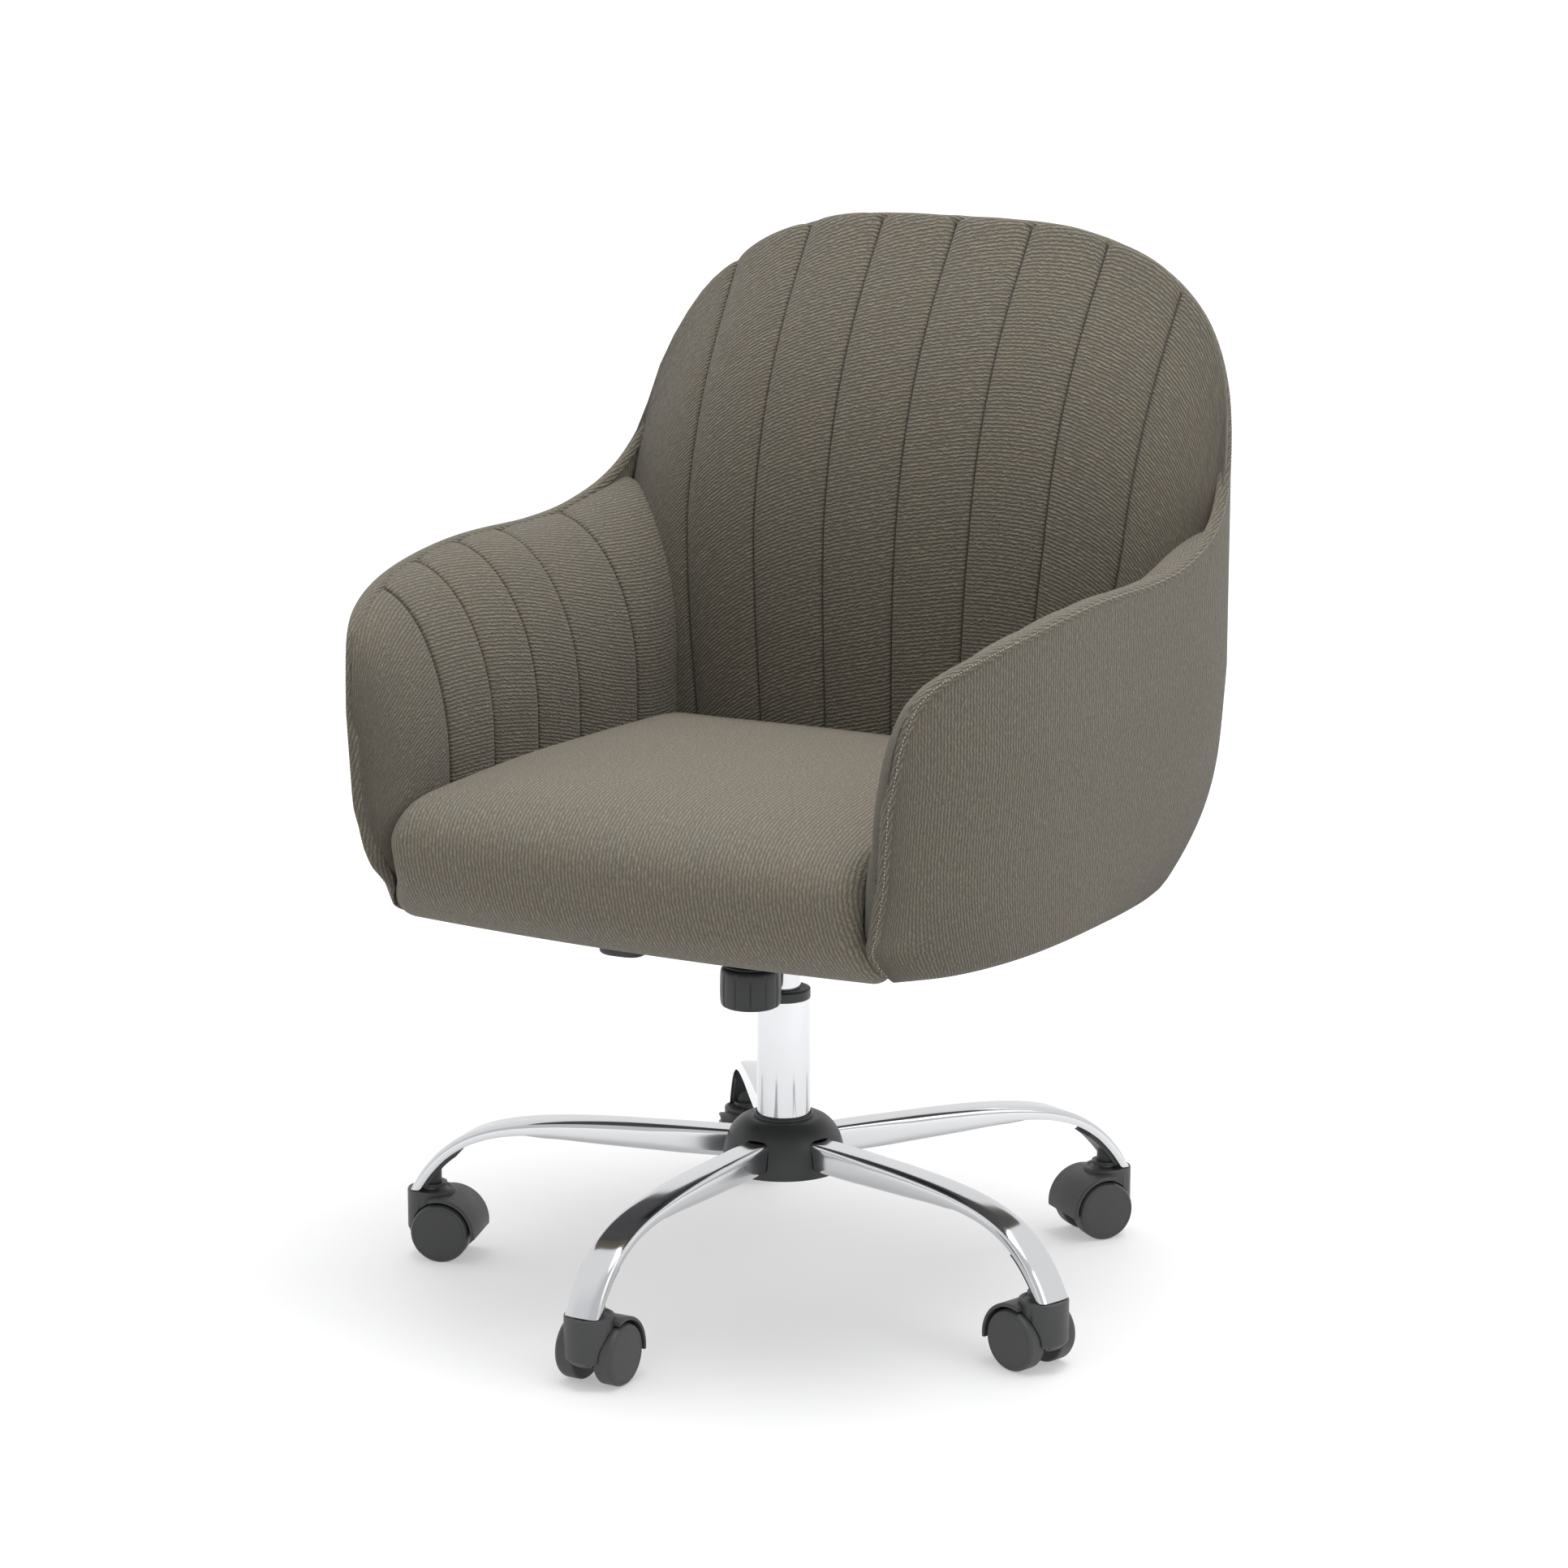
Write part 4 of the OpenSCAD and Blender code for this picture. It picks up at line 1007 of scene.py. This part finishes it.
def make_caster():
    """One caster at its stem, +X outwards, in the stem's own place: returns housing, left and right wheel."""
    head = lathe("caster", fillet([(0, 18.5), (14, 18.5), (20, 24), (20, 58.2), (16.8, 58.2), (16.2, 57.3),
                                   (0, 57.3)], {1: 4, 2: 4, 3: 1.6, 4: 0.5, 5: 0.4}), CASTER, seg=96)
    ax = (-13.0, 0, 25.0)
    hood_prof = fillet([(27.3, -25.6), (30.3, -25.6), (30.3, 25.6), (27.3, 25.6)], {0: 0.8, 1: 1.6, 2: 1.6, 3: 0.8})
    hood = lathe("hood", hood_prof, CASTER, seg=160, at=ax, axis=(0, 1, 0))
    below = [(-60, -60), (60, -60), (60, 21.5), (-60, 21.5)]
    trim(hood, below)
    trim(hood, [(-4, -60), (60, -60), (60, 90), (-4, 90)])
    web = lathe("web", [(0, -9.0), (29.6, -9.0), (29.6, 9.0), (0, 9.0)], CASTER, seg=128, at=ax, axis=(0, 1, 0))
    trim(web, below)
    trunk = lathe("trunk", [(0, -9.0), (15, -9.0), (15, 9.0), (0, 9.0)], CASTER, seg=64, at=ax, axis=(0, 1, 0))
    for side in (-1, 1):
        well = lathe("well", [(0, 0), (26.2, 0), (26.2, 30), (0, 30)], CASTER, seg=128,
                     at=(ax[0], 9.3 * side, ax[2]), axis=(0, side, 0))
        boolean(head, well, "DIFFERENCE")
    for part in (hood, web, trunk):
        boolean(head, part, "UNION")
    bevel(head, 0.8, 3, 35)
    wheels = []
    for side in (1, -1):
        prof = fillet([(4.05, 0.1), (24, 0.1), (25, 1.4), (25, 13.2), (23.6, 15.6), (22.0, 15.9), (21.5, 15.6),
                       (20.9, 15.95), (18, 16.2), (0, 16.35)],
                      {1: 0.6, 2: 0.8, 3: 1.0, 4: 0.6, 6: 0.2, 7: 0.3})
        prof = [(0, 3.0), (4.05, 3.0)] + prof
        wheels.append(lathe("wheel", prof, CASTER, seg=128, sharp=40, at=(ax[0], 9.6 * side, ax[2]),
                            axis=(0, side, 0)))
    return head, wheels[0], wheels[1]


def make_casters():
    head, plus, minus = make_caster()
    for k in range(5):
        m = spin(k) @ Matrix.Translation((CASTER_X, 0, 0))
        n = k + 1
        done(moved_copy(head, f"caster_hood_{n}", m), f"caster_{n}", "plastic_caster", f"caster_housing_{n}")
        for src, side, tag in ((plus, "left", "l"), (minus, "right", "r")):
            # A wheel that is not on the CAD wheel's side of the stem is mirrored to it
            node = f"wheel_{side}_{n}"
            c = moved_copy(src, f"caster_{side}_wheel_{n}", m)
            lo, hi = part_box(node)
            mid = (Vector(lo) + Vector(hi)) / 2
            mine = sum((Vector(v.co) for v in c.data.vertices), Vector()) / len(c.data.vertices)
            if (mid - mine).length > 0.012:
                c.data.transform(m @ Matrix.Scale(-1, 4, (0, 1, 0)) @ m.inverted())
                c.data.flip_normals()
            done(c, f"wheel_{tag}{n}", "plastic_caster", node)
    for o in (head, plus, minus):
        bpy.data.objects.remove(o)


# ---------------------------------------------------------------- column and mechanism
def make_column():
    tube = lathe("column_sleeve", fillet([(5.4, 96), (20.86, 96), (21.0, 97.5), (22, 138), (22, 241), (19, 241),
                                          (19, 99), (5.4, 99)], {4: 0.5, 5: 0.4}), CHROME, seg=160)
    done(tube, "base", "chrome", "column_tube")
    ring = lathe("column_collar", fillet([(14.05, 190), (19, 190), (19, 241), (22.15, 241), (22.15, 249),
                                          (14.05, 249)], {3: 0.5, 4: 1.4, 5: 0.6}), BLACK, seg=128)
    done(ring, "base", "plastic_black", "column_bushing")
    tube = lathe("gas_spring_tube", [(12.45, 112), (13.6, 112), (14, 112.5), (14, 275), (13.2, 308), (3.05, 308),
                                     (3.05, 288), (12.45, 288)], CHROME, seg=128)
    done(tube, "mechanism", "chrome", "pressure_tube")


def make_knob():
    """Barrel grip with twelve grooves that fade out below its rounded shoulder."""
    seg, grooves, knob_y = 360, 12, -54
    prof = [(0, 246.0), (18.5, 246.0), (21.6, 246.4), (23.4, 247.4), (24.3, 249.0), (24.75, 252), (24.95, 257),
            (24.95, 266), (24.8, 272), (24.5, 275.4), (24.0, 277.2), (22.9, 278.5), (21.0, 279.0), (20.4, 279.2),
            (20.0, 279.7), (21.0, 280.1), (22.4, 280.4), (22.6, 281.0), (22.2, 281.6), (20.4, 281.8), (20.0, 282.2),
            (21.2, 282.6), (21.8, 283.2), (21.2, 283.9), (0, 284.0)]
    verts = []
    for i in range(seg):
        a = 2 * math.pi * i / seg
        d = abs((i / seg * grooves) % 1 - 0.5) * 2
        cut = math.exp(-((1 - d) / 0.13) ** 2)
        for r, z in prof:
            depth = 1.05 * cut * max(0, min(1, (z - 247.6) / 1.2)) * max(0, min(1, (276.6 - z) / 2.4))
            rr = max(0, r - (depth if r > 20 else 0))
            verts.append((rr * math.cos(a) * MM, (rr * math.sin(a) + knob_y) * MM, z * MM))
    ob = mesh_obj("tilt_knob", verts, grid_faces(seg, len(prof), True), BLACK, sharp=50)
    merge_points(ob)
    done(ob, "knob", "plastic_black", "tension_knob")


def make_paddle():
    """Height lever's grip: a dished blade with a raised, rounded rim."""
    nu, nv, mid_x, mid_z, reach = 72, 40, -154, 262, 21
    verts = []
    for i in range(nu):
        a = 2 * math.pi * i / nu
        for j in range(nv):
            t = j / (nv - 1)
            # t runs over the top from the centre to the rim, round it, then back under to the centre
            f = min(t, 1 - t) / 0.5
            x = reach * signed_pow(math.cos(a), 2 / 3) * f
            y = np.interp(x, [-reach, reach], [14.5, 12.0]) * signed_pow(math.sin(a), 2 / 3) * f
            edge = min(1.0, (1 - f) / 0.22)
            lip = math.sqrt(max(0, 1 - (1 - edge) ** 2))
            if t < 0.5:
                z = 3.8 * lip - 2.0 * max(0, min(1, (0.74 - f) / 0.25))
            else:
                z = -5.2 * lip
            verts.append(((x + mid_x) * MM, y * MM, (z + mid_z) * MM))
    ob = mesh_obj("lever_grip", verts, grid_faces(nu, nv, True), BLACK)
    merge_points(ob)
    done(ob, "lever", "plastic_black", "lever_paddle")


# ---------------------------------------------------------------- build
make_back()
make_arms()
make_seat()
make_shell()
make_band()
make_base()
make_casters()
make_column()
make_knob()
make_paddle()

# CAD nodes shown as they are take their finish here
FINISH = {"steel": STEEL, "steel_black": SHEET, "brass": BRASS, "plywood": PLY, "lining": LINING,
          "plastic_black": BLACK, "plastic_caster": CASTER, "chrome": CHROME, "upholstery": FABRIC}
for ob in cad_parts.values():
    for s in ob.material_slots:
        key = s.material.name.split(".")[0] if s.material else ""
        s.material = FINISH.get(key, SHEET)

# ---------------------------------------------------------------- floor, light, camera
FLOOR = 30  # half the floor's side, in metres
floor_me = bpy.data.meshes.new("floor")
floor_me.from_pydata([(-FLOOR, -FLOOR, 0), (FLOOR, -FLOOR, 0), (FLOOR, FLOOR, 0), (-FLOOR, FLOOR, 0)], [],
                     [(0, 1, 2, 3)])
floor = add_object("floor", floor_me)
fm = material("pale floor", (0.52, 0.52, 0.52), 0.65)
fn = Nodes(fm)
# The floor glows a little more away from the chair, so that it meets the white backdrop without an edge
far = fn.new("ShaderNodeVectorMath", out=1, props={"operation": "LENGTH"}, _0=fn.obj())
fn.set(Specular_IOR_Level=0.2, Emission_Color=(1, 1, 1, 1),
       Emission_Strength=fn.new("ShaderNodeMapRange", props={"interpolation_type": "SMOOTHSTEP"}, Value=far,
                                From_Min=0.45, From_Max=1.7, To_Min=0.36, To_Max=0.6))
floor_me.materials.append(fm)

world = bpy.data.worlds.new("studio")
bpy.context.scene.world = world
world.use_nodes = True
wt = world.node_tree
bg = wt.nodes["Background"]
bg.inputs["Strength"].default_value = 1.0
# The world is white behind the chair and pale grey behind the camera, which gives the chrome its shades
co = wt.nodes.new("ShaderNodeTexCoord")
dot = wt.nodes.new("ShaderNodeVectorMath")
dot.operation = "DOT_PRODUCT"
wt.links.new(co.outputs["Generated"], dot.inputs[0])
dot.inputs[1].default_value = (0.485, -0.846, 0.22)
ramp = wt.nodes.new("ShaderNodeValToRGB")
wt.links.new(dot.outputs["Value"], ramp.inputs["Fac"])
ramp.color_ramp.elements[0].position = 0.32
ramp.color_ramp.elements[0].color = (1, 1, 1, 1)
ramp.color_ramp.elements[1].position = 0.62
ramp.color_ramp.elements[1].color = (0.72, 0.73, 0.75, 1)
wt.links.new(ramp.outputs[0], bg.inputs["Color"])


def aim(ob, loc, target):
    ob.location = loc
    ob.rotation_euler = (Vector(target) - Vector(loc)).to_track_quat("-Z", "Y").to_euler()


def area(name, loc, target, size, power):
    lamp = bpy.data.lights.new(name, "AREA")
    lamp.shape = "RECTANGLE"
    lamp.size = lamp.size_y = size
    lamp.energy = power
    ob = add_object(name, lamp)
    aim(ob, loc, target)
    return ob


top = area("top light", (0.3, 0.2, 3.0), (0, 0, 0.4), 2.4, 90)
side = area("side light", (3.0, -0.6, 2.0), (0, 0, 0.5), 1.8, 14)

cam_d = bpy.data.cameras.new("camera")
cam = add_object("camera", cam_d)
aim(cam, (1.8601, -3.2449, 1.2630), (0.0002, 0.0001, 0.4196))
cam_d.sensor_width = 36
cam_d.lens = 108.4
bpy.context.scene.camera = cam
bpy.context.scene.view_settings.view_transform = "Standard"
